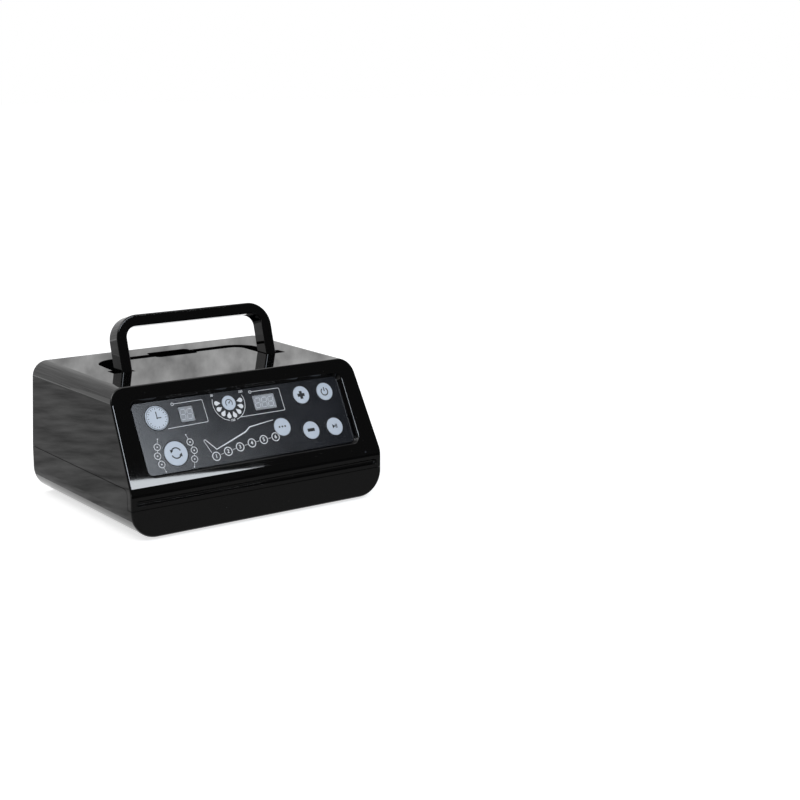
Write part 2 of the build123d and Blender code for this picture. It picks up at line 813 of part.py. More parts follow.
def build_lower_housing(shell):
    housing = shell & seam_region(False, -seam_gap / 2)
    lap = case_solid(wall) - case_solid(wall + lap_thickness)
    lap = (lap & seam_region(False, lap_overlap)) - seam_region(False, -lap_root)
    half = rear_panel_width / 2 + rear_panel_slot[0]
    lap -= block((-half, half), (rear_panel_y - rear_panel_slot[1], back_y), (bottom_z, top_z))
    housing += lap
    housing += together(rod(post_radius, (x, y, bottom_z + wall / 2), (x, y, seam_z - seam_gap / 2))
                        for x, y in post_places())
    housing += together(rod(mains_post_radius, (x, y, bottom_z + wall / 2), (x, y, floor_z + mains_board_lift))
                        for x, y in mains_board_posts())
    housing += together(rod(foot_boss_radius, (x, y, bottom_z + wall / 2), (x, y, floor_z + foot_boss_height))
                        for x, y in foot_places())
    for x, y in post_places():
        housing -= rod(case_screw_radius, (x, y, bottom_z - 1), (x, y, seam_z))
        housing -= rod(case_screw_head_radius + head_gap, (x, y, bottom_z - 1), (x, y, bottom_z + case_screw_sink))
    for x, y in foot_places():
        housing -= rod(foot_radius + foot_recess_gap, (x, y, bottom_z - 1), (x, y, bottom_z + foot_recess))
        housing -= rod(foot_screw_radius, (x, y, bottom_z), (x, y, foot_screw_seat + foot_screw_length))
    for x, y in mains_board_posts():
        housing -= rod(board_screw_radius, (x, y, floor_z), (x, y, floor_z + mains_board_lift + 1))
    for across, along in pump_mount_places():
        x, y = pump_x + across, pump_y + along
        housing -= rod(pump_screw_radius, (x, y, bottom_z - 1), (x, y, floor_z + 1))
    first = -vent_slot_pitch * (vent_slot_count - 1) / 2
    for side in sides():
        for i in range(vent_slot_count):
            x = side * vent_center_x + first + vent_slot_pitch * i
            y = front_y + vent_from_front
            housing -= block((x - vent_slot_width / 2, x + vent_slot_width / 2),
                             (y - vent_slot_length / 2, y + vent_slot_length / 2), (bottom_z - 1, floor_z + 1))
    housing -= rear_opening()
    housing -= rear_screw_holes()
    return housing


pump_x = left_x + wall + pump_from_left
mains_board_x = right_x - wall - mains_board_from_right - mains_board_size[0] / 2


# ---- handle and its pivots --------------------------------------------------------------------------
def handle_upright():
    """The handle standing straight up, its pivot axis on X through the origin."""
    outer = Pos(0, (handle_reach - handle_foot_radius) / 2) * Rectangle(
        handle_width, handle_reach + handle_foot_radius)
    outer = fillet(outer.vertices().sort_by(Axis.Y)[-2:], handle_outer_radius)
    inner_width = handle_width - 2 * handle_bar
    inner_top = handle_reach - handle_bar
    inner = Pos(0, (inner_top - 2 * handle_foot_radius) / 2) * Rectangle(
        inner_width, inner_top + 2 * handle_foot_radius)
    inner = fillet(inner.vertices().sort_by(Axis.Y)[-2:], handle_inner_radius)
    bow = extrude(Plane.XZ * (outer - inner), amount=-handle_depth)
    bow = Pos(0, -handle_pivot_drop, 0) * bow
    # round the lower ends about the pivot
    back = handle_depth - handle_pivot_drop
    foot = Polygon((-handle_pivot_drop, -handle_foot_radius), (back, -handle_foot_radius),
                   (back, handle_reach + 1), (-handle_pivot_drop, handle_reach + 1), align=None)
    low = foot.vertices().sort_by(Axis.Y)[:2]
    foot = fillet(low, handle_foot_corner_radius)
    bow &= extrude(Plane.YZ * foot, amount=handle_width, both=True)
    return bow


def handle_soft_edges(bow):
    """Edges of the front and back faces above the foot."""
    front = -handle_pivot_drop
    back = handle_depth - handle_pivot_drop
    picked = []
    for edge in bow.edges():
        box = edge.bounding_box()
        on_face = abs(box.min.Y - box.max.Y) < 0.01 and min(abs(box.min.Y - front), abs(box.min.Y - back)) < 0.01
        flat_x = box.size.Z < 0.01 and box.min.Z < handle_foot_radius
        if on_face and not flat_x:
            picked.append(edge)
    return picked


def build_handle():
    bow = handle_upright()
    bow = fillet(handle_soft_edges(bow), handle_edge_radius)
    bow -= rod(pin_radius + pin_clearance, (-handle_width, 0, 0), (handle_width, 0, 0))
    return Pos(*pivot) * Rot(-handle_lean, 0, 0) * bow


def build_pivots():
    pins = []
    spacers = []
    for side in sides():
        start, end = pin_span(side)
        pins.append(rod(pin_radius, (start, pivot_y, pivot_z), (end, pivot_y, pivot_z)))
        inner = side * (handle_x + spacer_gap)
        outer = side * (handle_x - handle_bar - well_inner_clearance + foot_pocket_width)
        spacers.append(tube(spacer_radius, pin_radius, (inner, pivot_y, pivot_z), (outer, pivot_y, pivot_z)))
    return together(pins), together(spacers)


# ---- overlay, windows, lamps, keys ------------------------------------------------------------------
def build_overlay():
    sheet = on_panel(Pos(0, pocket_middle) * RectangleRounded(
        overlay_width, overlay_tall, overlay_corner_radius), floor_top, overlay_z)
    holes = key_holes() + lamp_sketches(lens_gap)
    holes.append(window_sketch(time_window_place, time_window_size, lens_gap))
    holes.append(window_sketch(pressure_window_place, pressure_window_size, lens_gap))
    for hole in holes:
        sheet -= on_panel(hole, floor_top - 1, overlay_z + 1)
    return sheet


def build_lenses():
    top = overlay_z
    mode = together(panel_disc(x, up, mode_lamp_diameter / 2, floor_under, top) for x, up in mode_lamp_places())
    chamber = together(panel_disc(x, up, chamber_lamp_diameter / 2, floor_under, top)
                       for x, up in chamber_lamp_places())
    pressure = together(on_panel(sketch, floor_under, top) for sketch in pressure_lamp_sketches(0))
    nodes["mode_lamps"] = mode
    nodes["chamber_lamps"] = chamber
    nodes["pressure_lamps"] = pressure
    nodes["status_lamp"] = status_lamp_disc(-wall, status_lamp_rise)
    nodes["time_window"] = on_panel(window_sketch(time_window_place, time_window_size, 0), floor_top, top)
    nodes["pressure_window"] = on_panel(window_sketch(pressure_window_place, pressure_window_size, 0),
                                        floor_top, top)


def build_key(x, up, diameter):
    top = overlay_z + key_height
    flange_top = floor_under - touch_gap
    flange_low = flange_top - key_flange_thickness
    stem_low = -board_depth + switch_height + switch_plunger_height + key_travel + touch_gap
    cap = panel_disc(x, up, diameter / 2, flange_low, top)
    crown = [edge for edge in cap.edges() if abs(panel.to_local_coords(edge.center()).Z - top) < 0.01]
    cap = fillet(crown, key_edge_radius)
    flange = panel_disc(x, up, diameter / 2 + key_flange, flange_low, flange_top)
    return cap + flange + panel_disc(x, up, key_stem_radius, stem_low, flange_low)


def build_display(place, size):
    front = floor_under - touch_gap
    back = front - display_module_depth
    module = on_panel(window_sketch(place, size, display_rim), back, front)
    module += on_panel(window_sketch(place, size, -window_ledge - display_nose_gap), front, floor_top - touch_gap)
    header = on_panel(window_sketch(place, size, -display_header_inset), -board_depth, back)
    return module + header


# ---- control board ----------------------------------------------------------------------------------
def build_control_board():
    middle = (overlay_low + overlay_high) / 2
    board = on_panel(Pos(0, middle) * Rectangle(board_width, board_height),
                     -board_depth - board_thickness, -board_depth)
    for x, up in board_posts:
        hole = board_screw_radius + board_screw_gap
        board -= panel_disc(x, up, hole, -board_depth - board_thickness - 1, -board_depth + 1)
    switches = []
    for x, up, _ in keys.values():
        base = on_panel(Pos(x, up) * Rectangle(switch_size, switch_size), -board_depth,
                        -board_depth + switch_height)
        plunger = panel_disc(x, up, switch_plunger_radius, -board_depth + switch_height,
                             -board_depth + switch_height + switch_plunger_height)
        switches.append(base + plunger)
    screws = []
    for x, up in board_posts:
        under = -board_depth - board_thickness
        shank = panel_disc(x, up, board_screw_radius, under, -board_depth + board_screw_bite)
        screws.append(shank + panel_disc(x, up, small_head_radius, under - small_head_height, under))
    lamps = []
    places = mode_lamp_places() + chamber_lamp_places()
    x, up, _ = keys["pressure_key"]
    for turn in pressure_lamp_turns():
        angle = radians(turn)
        places.append((x + pressure_lamp_circle * cos(angle), up + pressure_lamp_circle * sin(angle)))
    long, short, tall = board_lamp_size
    for x, up in places:
        lamps.append(on_panel(Pos(x, up) * Rectangle(long, short), -board_depth, -board_depth + tall))
    under = -board_depth - board_thickness
    chips = []
    for (x, up), (long, short, tall) in zip(board_chip_places, board_chip_sizes):
        chips.append(on_panel(Pos(x, up) * Rectangle(long, short), under - tall, under))
    nodes["control_board"] = board
    nodes["key_switches"] = together(switches)
    nodes["board_screws"] = together(screws)
    nodes["board_lamps"] = together(lamps)
    nodes["board_chips"] = together(chips)


# ---- rear panel, hose sockets, mains inlet, fan -----------------------------------------------------
def port_places():
    span = port_pitch * (ports_per_socket - 1) / 2
    return [x - span + port_pitch * i for x in socket_center_x for i in range(ports_per_socket)]


def build_rear_panel():
    half = rear_panel_width / 2
    sheet = block((-half, half), (rear_panel_y, rear_inner_y), (rear_low_z, rear_high_z))
    reach = (rear_panel_y - 1, rear_inner_y + 1)
    for x in socket_center_x:
        width = socket_half_width + cut_gap
        tall = socket_height / 2 + cut_gap
        sheet -= block((x - width, x + width), reach, (air_z - tall, air_z + tall))
    width = inlet_width / 2 - inlet_body_inset + cut_gap
    tall = inlet_tall / 2 - inlet_body_inset + cut_gap
    sheet -= block((inlet_x - width, inlet_x + width), reach, (inlet_z - tall, inlet_z + tall))
    count = int(fan_hole_radius // grille_pitch)
    for i in range(-count, count + 1):
        z = fan_z + i * grille_pitch
        edge = fan_hole_radius - grille_margin
        half_slot = (edge * edge - (i * grille_pitch) ** 2) ** 0.5
        sheet -= block((fan_x - half_slot, fan_x + half_slot), reach, (z - grille_slot / 2, z + grille_slot / 2))
    sheet += block((fan_x - grille_bar / 2, fan_x + grille_bar / 2), (rear_panel_y, rear_inner_y),
                   (fan_z - fan_hole_radius, fan_z + fan_hole_radius))
    for x, z in fan_screw_places():
        sheet -= rod(fan_screw_radius, (x, rear_panel_y - 1, z), (x, rear_inner_y + 1, z))
    for x, z in rear_screw_places():
        sheet -= rod(rear_screw_radius, (x, rear_panel_y - 1, z), (x, rear_inner_y + 1, z))
    return sheet


def fan_screw_places():
    half = fan_screw_spacing / 2
    return [(fan_x + side * half, fan_z + end * half) for side in sides() for end in sides()]


def build_sockets():
    width = socket_half_width
    tall = socket_height / 2
    blocks = []
    for center in socket_center_x:
        body = block((center - width, center + width), (socket_back_y, connector_face_y),
                     (air_z - tall, air_z + tall))
        body += block((center - width - socket_flange, center + width + socket_flange),
                      (rear_panel_y - socket_flange_thickness, rear_panel_y),
                      (air_z - tall - socket_flange, air_z + tall + socket_flange))
        for x in port_places():
            if abs(x - center) > width:
                continue
            nose = (x, socket_back_y - nozzle_length, air_z)
            body += rod(nozzle_radius, nose, (x, socket_back_y, air_z))
            body -= rod(port_throat_radius, nose, (x, connector_face_y, air_z))
            body -= rod(port_radius, (x, connector_face_y - port_length, air_z), (x, connector_face_y + 1, air_z))
        blocks.append(body)
    return together(blocks)


def build_mains_inlet():
    face = rear_inner_y + inlet_flange
    flange = block((inlet_x - inlet_width / 2, inlet_x + inlet_width / 2), (rear_inner_y, face),
                   (inlet_z - inlet_tall / 2, inlet_z + inlet_tall / 2))
    flange = fillet(flange.edges().filter_by(Axis.Y), inlet_corner_radius)
    half = inlet_width / 2 - inlet_body_inset
    tall = inlet_tall / 2 - inlet_body_inset
    body = block((inlet_x - half, inlet_x + half), (face - inlet_body_length, rear_inner_y),
                 (inlet_z - tall, inlet_z + tall))
    body += flange
    hole_z = inlet_z - socket_hole_drop
    mouth = block((inlet_x - socket_hole_width / 2, inlet_x + socket_hole_width / 2),
                  (face - socket_hole_depth, face + 1),
                  (hole_z - socket_hole_tall / 2, hole_z + socket_hole_tall / 2))
    lower = mouth.edges().filter_by(Axis.Y).sort_by(Axis.Z)[:2]
    mouth = chamfer(lower, socket_hole_chamfer)
    body -= mouth
    fuse_z = inlet_z + fuse_rise
    body -= block((inlet_x - fuse_width / 2 - fuse_gap, inlet_x + fuse_width / 2 + fuse_gap),
                  (face - fuse_length - 1, face + 1),
                  (fuse_z - fuse_tall / 2 - fuse_gap, fuse_z + fuse_tall / 2 + fuse_gap))
    rocker_z = inlet_z + rocker_rise
    rocker_half = rocker_width / 2
    body -= block((inlet_x - rocker_half - rocker_side_gap, inlet_x + rocker_half + rocker_side_gap),
                  (face - rocker_length - rocker_room, face + 1),
                  (rocker_z - rocker_tall / 2 - rocker_gap, rocker_z + rocker_tall / 2 + rocker_gap))
    axle = face - rocker_length / 2 - rocker_sink
    pin_hole = rocker_half + rocker_pin_reach + cut_gap
    body -= rod(rocker_pin_radius + pin_clearance, (inlet_x - pin_hole, axle, rocker_z),
                (inlet_x + pin_hole, axle, rocker_z))
    nodes["mains_inlet"] = body

    root = face - socket_hole_depth - blade_root
    blades = []
    for x, z in ((-blade_spread, side_blade_rise), (blade_spread, side_blade_rise), (0, -middle_blade_drop)):
        blades.append(block((inlet_x + x - blade_width / 2, inlet_x + x + blade_width / 2),
                            (root, face - socket_hole_depth + blade_length),
                            (hole_z + z - blade_tall / 2, hole_z + z + blade_tall / 2)))
    nodes["mains_inlet"] -= together(blades)
    nodes["inlet_blades"] = together(blades)

    drawer = block((inlet_x - fuse_width / 2, inlet_x + fuse_width / 2), (face - fuse_length, face + fuse_proud),
                   (fuse_z - fuse_tall / 2, fuse_z + fuse_tall / 2))
    wide, tall, deep = fuse_notch
    drawer -= block((inlet_x - wide / 2, inlet_x + wide / 2), (face + fuse_proud - deep, face + 1),
                    (fuse_z - tall / 2, fuse_z + tall / 2))
    nodes["fuse_drawer"] = drawer

    half_tall = rocker_tall / 2
    front = rocker_length / 2
    outline = Polygon((-front, -half_tall), (front, -half_tall), (front - rocker_dip, 0), (front, half_tall),
                      (-front, half_tall), align=None)
    rocker = extrude(Plane.YZ * outline, amount=rocker_half, both=True)
    pin_end = rocker_half + rocker_pin_reach
    rocker += rod(rocker_pin_radius, (-pin_end, 0, 0), (pin_end, 0, 0))
    nodes["rocker_switch"] = Pos(inlet_x, axle, rocker_z) * Rot(-rocker_tilt, 0, 0) * rocker


def build_fan():
    half = fan_size / 2
    y0, y1 = rear_panel_y - fan_depth, rear_panel_y
    frame = block((fan_x - half, fan_x + half), (y0, y1), (fan_z - half, fan_z + half))
    frame = fillet(frame.edges().filter_by(Axis.Y), fan_corner_radius)
    frame -= rod(fan_hole_radius, (fan_x, y0 - 1, fan_z), (fan_x, y1 + 1, fan_z))
    frame += rod(fan_hub_radius, (fan_x, y0, fan_z), (fan_x, y0 + fan_bearing, fan_z))
    for turn in (45, 135):
        spoke = Box(2 * fan_hole_radius + fan_bearing, fan_bearing, fan_spoke_width)
        frame += Pos(fan_x, y0 + fan_bearing / 2, fan_z) * Rot(0, turn, 0) * spoke
    frame -= rod(fan_shaft_radius + pin_clearance, (fan_x, y0 - 1, fan_z), (fan_x, y0 + fan_bearing + 1, fan_z))
    for x, z in fan_screw_places():
        frame -= rod(fan_screw_radius, (x, y0 - 1, z), (x, y1 + 1, z))
    nodes["fan_frame"] = frame

    hub_low = y0 + fan_bearing + fan_rotor_gap
    hub_high = y1 - fan_front_gap
    hub = rod(fan_hub_radius, (fan_x, hub_low, fan_z), (fan_x, hub_high, fan_z))
    hub += rod(fan_shaft_radius, (fan_x, y0 + fan_rotor_gap, fan_z), (fan_x, hub_low, fan_z))
    reach = fan_hole_radius - fan_blade_gap
    for i in range(fan_blades):
        blade = Box(reach - fan_hub_radius + 1, fan_blade_thickness, fan_blade_chord)
        blade = Pos((reach + fan_hub_radius - 1) / 2, 0, 0) * Rot(fan_blade_angle, 0, 0) * blade
        hub += Pos(fan_x, (hub_low + hub_high) / 2, fan_z) * Rot(0, 360 / fan_blades * i, 0) * blade
    nodes["fan_rotor"] = hub

    screws = []
    for x, z in fan_screw_places():
        shank = rod(fan_screw_radius, (x, rear_inner_y - fan_screw_length, z), (x, rear_inner_y, z))
        head = rod(fan_screw_head_radius, (x, rear_inner_y, z), (x, rear_inner_y + fan_screw_head_height, z))
        screws.append(shank + head)
    nodes["fan_screws"] = together(screws)


# ---- pump -------------------------------------------------------------------------------------------
def build_pump():
    """Built about the middle of its footprint with its length on X, then turned to run front to back."""
    place = Pos(pump_x, pump_y, floor_z) * Rot(0, 0, 90)
    plate_z = pump_mount_height
    top = plate_z + pump_plate
    axis_z = top + pump_axis_height
    half_l, half_w = pump_length / 2, pump_width / 2
    mounts_at = [(along, across) for across, along in pump_mount_places()]

    frame = block((-half_l, half_l), (-half_w, half_w), (plate_z, top))
    for side in sides():
        rail = Pos(0, side * (half_w - pump_rail / 2), top + pump_rail_height / 2) * Box(
            pump_length - 2 * pump_rail_inset, pump_rail, pump_rail_height)
        frame += rail
    for x, y in mounts_at:
        frame -= rod(pump_screw_radius, (x, y, plate_z - 1), (x, y, top + 1))
    nodes["pump_frame"] = place * frame

    mounts = []
    screws = []
    for x, y in mounts_at:
        bobbin = rod(pump_mount_radius, (x, y, 0), (x, y, plate_z))
        waist = Pos(x, y, plate_z / 2) * Torus(pump_mount_radius, pump_mount_waist)
        mounts.append(bobbin - waist - rod(pump_screw_radius, (x, y, -1), (x, y, plate_z + 1)))
        screw_top = top + pump_nut_height
        screw = rod(pump_screw_radius, (x, y, pump_screw_end - wall), (x, y, screw_top))
        screws.append(screw + rod(pump_nut_radius, (x, y, top), (x, y, screw_top)))
    nodes["pump_mounts"] = place * together(mounts)
    nodes["pump_screws"] = place * together(screws)

    # heads: cups that close over the discs, each with a neck up to the air chamber
    heads = []
    neck_top = axis_z + head_radius + neck_rise
    for side in sides():
        outer = side * half_l
        inner = outer - side * head_length
        middle = (inner + outer) / 2
        cup = rod(head_radius, (inner, 0, axis_z), (outer, 0, axis_z))
        half_foot = head_foot_width / 2
        cup += block((min(inner, outer), max(inner, outer)), (-half_foot, half_foot), (top, axis_z))
        cup += rod(neck_radius, (middle, 0, axis_z), (middle, 0, neck_top))
        cavity = disc_radius + disc_edge_gap
        cup -= rod(cavity, (inner + side * head_wall, 0, axis_z), (outer - side * head_wall, 0, axis_z))
        cup -= rod(disc_rod_radius + rod_gap, (inner - side, 0, axis_z), (middle, 0, axis_z))
        heads.append(cup)
    nodes["pump_heads"] = place * together(heads)

    # armature: a bar with two magnets, and a disc on a rod at each end
    bar_low, bar_high = axis_z - armature_tall / 2, axis_z + armature_tall / 2
    half_bar = armature_width / 2
    armature = block((-armature_length / 2, armature_length / 2), (-half_bar, half_bar), (bar_low, bar_high))
    magnets = []
    for side in sides():
        disc = side * (half_l - head_length / 2)
        armature += rod(disc_rod_radius, (side * armature_length / 2, 0, axis_z), (disc, 0, axis_z))
        half_disc = disc_thickness / 2
        armature += rod(disc_radius, (disc - half_disc, 0, axis_z), (disc + half_disc, 0, axis_z))
        middle = side * magnet_spread
        magnets.append(block((middle - magnet_length / 2, middle + magnet_length / 2), (-half_bar, half_bar),
                             (bar_low + magnet_inset, bar_high - magnet_inset)))
    nodes["pump_armature"] = place * (armature - together(magnets))
    nodes["pump_magnets"] = place * together(magnets)

    # coils and cores on both sides of the armature
    coils = []
    cores = []
    near = half_bar + armature_air_gap
    far = half_w - pump_rail
    for side in sides():
        middle = Pos(0, side * (near + far) / 2, axis_z)
        coil = Box(coil_length, far - near, coil_tall)
        coil = fillet(coil.edges().filter_by(Axis.Y), coil_corner_radius)
        core = Box(coil_length - 2 * core_margin, far - near, coil_tall - 2 * core_margin)
        coils.append(middle * (coil - core))
        cores.append(middle * core)
    nodes["pump_coils"] = place * together(coils)
    nodes["pump_cores"] = place * together(cores)

    # air chamber on top of both heads
    half_c = chamber_width / 2
    chamber = block((-half_l, half_l), (-half_c, half_c), (neck_top, neck_top + chamber_height))
    chamber = fillet(chamber.edges().filter_by(Axis.X), chamber_corner_radius)
    outlet_z = neck_top + chamber_height / 2
    chamber += rod(nozzle_radius, (0, -half_c, outlet_z), (0, -half_c - nozzle_length, outlet_z))
    nodes["pump_air_chamber"] = place * chamber
    return pump_x + half_c + nozzle_length, floor_z + outlet_z


# ---- valves and hoses -------------------------------------------------------------------------------
def build_valves(outlet_x, outlet_z):
    ports = port_places()
    left = ports[0] - port_radius - manifold_margin
    right = ports[-1] + port_radius + manifold_margin
    low, high = air_z - manifold_tall / 2, air_z + manifold_tall / 2
    y0, y1 = manifold_y - manifold_depth / 2, manifold_y + manifold_depth / 2
    bar = block((left, right), (y0, y1), (low, high))
    for x in ports:
        bar += rod(nozzle_radius, (x, y1, air_z), (x, y1 + nozzle_length, air_z))
        bar -= rod(nozzle_bore, (x, y1 - nozzle_bore_depth, air_z), (x, y1 + nozzle_length + 1, air_z))
    entry_x = left - nozzle_length
    bar += rod(nozzle_radius, (entry_x, manifold_y, air_z), (left, manifold_y, air_z))
    nodes["valve_manifold"] = bar

    valves = []
    for x in ports:
        body = block((x - valve_width / 2, x + valve_width / 2),
                     (manifold_y - valve_depth / 2, manifold_y + valve_depth / 2), (high, high + valve_tall))
        top = high + valve_tall
        cap = rod(valve_cap_radius, (x, manifold_y, top), (x, manifold_y, top + valve_cap_height))
        valves.append(body + cap)
    nodes["solenoid_valves"] = together(valves)

    bracket = block((left, right), (y0, y1), (low - bracket_sheet, low))
    for edge, toward in ((left, 1), (right, -1)):
        inner = edge + toward * bracket_sheet
        bracket += block((min(edge, inner), max(edge, inner)), (y0, y1), (floor_z, low))
        foot = edge + toward * bracket_foot
        bracket += block((min(edge, foot), max(edge, foot)), (y0, y1), (floor_z, floor_z + bracket_sheet))
    nodes["valve_bracket"] = bracket

    outer = nozzle_radius + hose_wall
    start_y = y1 + hose_end_gap
    end_y = socket_back_y - hose_end_gap
    hoses = [tube(outer, nozzle_radius, (x, start_y, air_z), (x, end_y, air_z)) for x in ports]
    nodes["outlet_hoses"] = together(hoses)

    # hose from the pump's air chamber to the manifold
    turn_x = (outlet_x + entry_x) / 2
    start = (outlet_x - nozzle_length + hose_end_gap, pump_y, outlet_z)
    corners = [start, (turn_x, pump_y, outlet_z), (turn_x, manifold_y, air_z),
               (entry_x + nozzle_length - hose_end_gap, manifold_y, air_z)]
    path = FilletPolyline(*corners, radius=hose_bend)
    ring = Plane(origin=start, z_dir=(1, 0, 0)) * (Circle(outer) - Circle(nozzle_radius))
    nodes["pump_hose"] = sweep(ring, path=path)


# ---- mains board ------------------------------------------------------------------------------------
def build_mains_board():
    size_x, size_y = mains_board_size
    low = floor_z + mains_board_lift
    top = low + board_thickness
    board = block((mains_board_x - size_x / 2, mains_board_x + size_x / 2),
                  (mains_board_y - size_y / 2, mains_board_y + size_y / 2), (low, top))
    for x, y in mains_board_posts():
        board -= rod(board_screw_radius + board_screw_gap, (x, y, low - 1), (x, y, top + 1))
    nodes["mains_board"] = board
    tx, ty, tz = transformer_size
    core = block((mains_board_x - tx / 2, mains_board_x + tx / 2),
                 (mains_board_y - ty / 2, mains_board_y + ty / 2), (top, top + tz))
    half_winding = ty / 2 + winding_overhang
    winding = rod(winding_radius, (mains_board_x, mains_board_y - half_winding, top + tz / 2),
                  (mains_board_x, mains_board_y + half_winding, top + tz / 2))
    nodes["mains_transformer"] = core + winding
    spread = size_x / 2 - 2 * capacitor_radius
    caps = [rod(capacitor_radius, (mains_board_x + side * spread, mains_board_y, top),
                (mains_board_x + side * spread, mains_board_y, top + capacitor_height)) for side in sides()]
    rims = [cap.edges().sort_by(Axis.Z)[-1] for cap in caps]
    nodes["mains_capacitors"] = together(fillet(rim, capacitor_edge_radius) for rim in rims)
    screws = []
    for x, y in mains_board_posts():
        shank = rod(board_screw_radius, (x, y, floor_z + 1), (x, y, top))
        screws.append(shank + rod(small_head_radius, (x, y, top), (x, y, top + small_head_height)))
    nodes["mains_board_screws"] = together(screws)


# ---- fasteners and feet -----------------------------------------------------------------------------
def build_fasteners():
    screws = []
    for x, y in post_places():
        head_z = bottom_z + case_screw_sink
        shank = rod(case_screw_radius, (x, y, head_z), (x, y, seam_z + case_screw_bite - 1))
        head = rod(case_screw_head_radius, (x, y, head_z - case_screw_head_height), (x, y, head_z))
        face = head_z - case_screw_head_height
        drive = rod(drive_radius, (x, y, face - 1), (x, y, face + drive_depth))
        screws.append(shank + head - drive)
    nodes["case_screws"] = together(screws)

    screws = []
    for x, z in rear_screw_places():
        seat = back_y - rear_screw_sink
        shank = rod(rear_screw_radius, (x, rear_panel_y - 2, z), (x, seat, z))
        face = seat + rear_screw_head_height
        head = rod(rear_screw_head_radius, (x, seat, z), (x, face, z))
        drive = rod(drive_radius, (x, face - drive_depth, z), (x, face + 1, z))
        screws.append(shank + head - drive)
    nodes["rear_panel_screws"] = together(screws)

    feet = []
    pins = []
    for x, y in foot_places():
        pad = rod(foot_radius, (x, y, 0), (x, y, bottom_z + foot_recess))
        low_edge = pad.edges().sort_by(Axis.Z)[0]
        pad = fillet(low_edge, foot_edge_radius)
        pad -= rod(foot_screw_head_radius + head_gap, (x, y, -1), (x, y, foot_screw_seat))
        pad -= rod(foot_screw_radius, (x, y, 0), (x, y, bottom_z + foot_recess + 1))
        feet.append(pad)
        seat = foot_screw_seat
        shank = rod(foot_screw_radius, (x, y, seat), (x, y, seat + foot_screw_length))
        pins.append(shank + rod(foot_screw_head_radius, (x, y, seat - foot_screw_head_height), (x, y, seat)))
    nodes["feet"] = together(feet)
    nodes["foot_screws"] = together(pins)


# ---- build ------------------------------------------------------------------------------------------
shell = rounded_case() - case_solid(wall)
nodes["upper_housing"] = soften_upper_housing(build_upper_housing(shell))
nodes["lower_housing"] = build_lower_housing(shell)
nodes["rear_panel"] = build_rear_panel()
nodes["handle"] = build_handle()
nodes["handle_pins"], nodes["handle_spacers"] = build_pivots()
nodes["panel_overlay"] = build_overlay()
build_lenses()
for name, (key_x, key_up, key_diameter) in keys.items():
    nodes[name] = build_key(key_x, key_up, key_diameter)
nodes["time_display"] = build_display(time_window_place, time_window_size)
nodes["pressure_display"] = build_display(pressure_window_place, pressure_window_size)
build_control_board()
nodes["hose_sockets"] = build_sockets()
build_mains_inlet()
build_fan()
chamber_outlet = build_pump()
build_valves(*chamber_outlet)
build_mains_board()
build_fasteners()

os.makedirs("parts", exist_ok=True)
for name, shape in nodes.items():
    export_step(shape, f"parts/{name}.step")
print(len(nodes), "nodes")
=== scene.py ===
import math
import bpy
from mathutils import Matrix, Vector


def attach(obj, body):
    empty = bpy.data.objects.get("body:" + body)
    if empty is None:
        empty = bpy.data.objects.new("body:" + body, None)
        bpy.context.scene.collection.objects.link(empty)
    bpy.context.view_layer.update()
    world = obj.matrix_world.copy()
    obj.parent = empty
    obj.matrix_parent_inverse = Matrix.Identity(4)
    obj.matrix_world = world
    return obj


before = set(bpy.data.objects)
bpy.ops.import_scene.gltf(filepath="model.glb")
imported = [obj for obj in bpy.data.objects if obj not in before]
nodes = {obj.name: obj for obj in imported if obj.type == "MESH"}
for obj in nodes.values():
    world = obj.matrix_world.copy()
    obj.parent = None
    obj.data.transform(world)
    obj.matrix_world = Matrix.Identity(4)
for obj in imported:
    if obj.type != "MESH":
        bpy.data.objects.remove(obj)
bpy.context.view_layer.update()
mm = 0.001

# where the sloping panel lies: X along the front, Y up the slope, Z out of it
caseShape = {"depth": 281.5, "height": 173.2, "foot": 3.5, "frontFace": 58.2, "setback": 63.5}
slopeRise = caseShape["height"] - caseShape["frontFace"]
slopeLength = math.hypot(caseShape["setback"], slopeRise)
upSlope = Vector((0, caseShape["setback"] / slopeLength, slopeRise / slopeLength))
outward = Vector((0, -upSlope.z, upSlope.y))
panelOrigin = Vector((0, -caseShape["depth"] / 2, caseShape["foot"] + caseShape["frontFace"])) * mm
panelMatrix = Matrix.Translation(panelOrigin) @ Matrix((
    (1, 0, 0, 0), (0, upSlope.y, outward.y, 0), (0, upSlope.z, outward.z, 0), (0, 0, 0, 1)))

# levels on that plane, in millimetres
levels = {"film": -6.2, "key": -5.6, "display": -7.28}
keyPlaces = {
    "time_key": (-119.25, 88.85), "mode_key": (-106.75, 42.15), "pressure_key": (-17.0, 94.65),
    "option_key": (49.0, 53.95), "plus_key": (89.45, 91.35), "minus_key": (89.45, 43.65),
    "power_key": (125.75, 91.35), "start_key": (125.75, 43.65)}


def deselectAll():
    if bpy.context.mode != "OBJECT":
        bpy.ops.object.mode_set(mode="OBJECT")
    bpy.ops.object.select_all(action="DESELECT")


def pick(*pieces):
    deselectAll()
    for piece in pieces:
        piece.select_set(True)
    bpy.context.view_layer.objects.active = pieces[0]


def joinPieces(name, pieces):
    pick(*pieces)
    if len(pieces) > 1:
        bpy.ops.object.join()
    joined = bpy.context.view_layer.objects.active
    joined.name = name
    joined.data.name = name
    return joined


def layOnPanel(piece, level):
    # from flat on XY to flat on the panel, with its place in its mesh
    pick(piece)
    bpy.ops.object.transform_apply(location=True, rotation=True, scale=True)
    piece.data.transform(panelMatrix @ Matrix.Translation((0, 0, level * mm)))


def asMesh(piece):
    pick(piece)
    bpy.ops.object.convert(target="MESH")
    return bpy.context.view_layer.objects.active


inkHeight = 0.05     # millimetres, how far print stands off its film
thinLine = 0.5       # millimetres, the lines that link the rings
boldness = 0.02      # of a number's size, added round its strokes


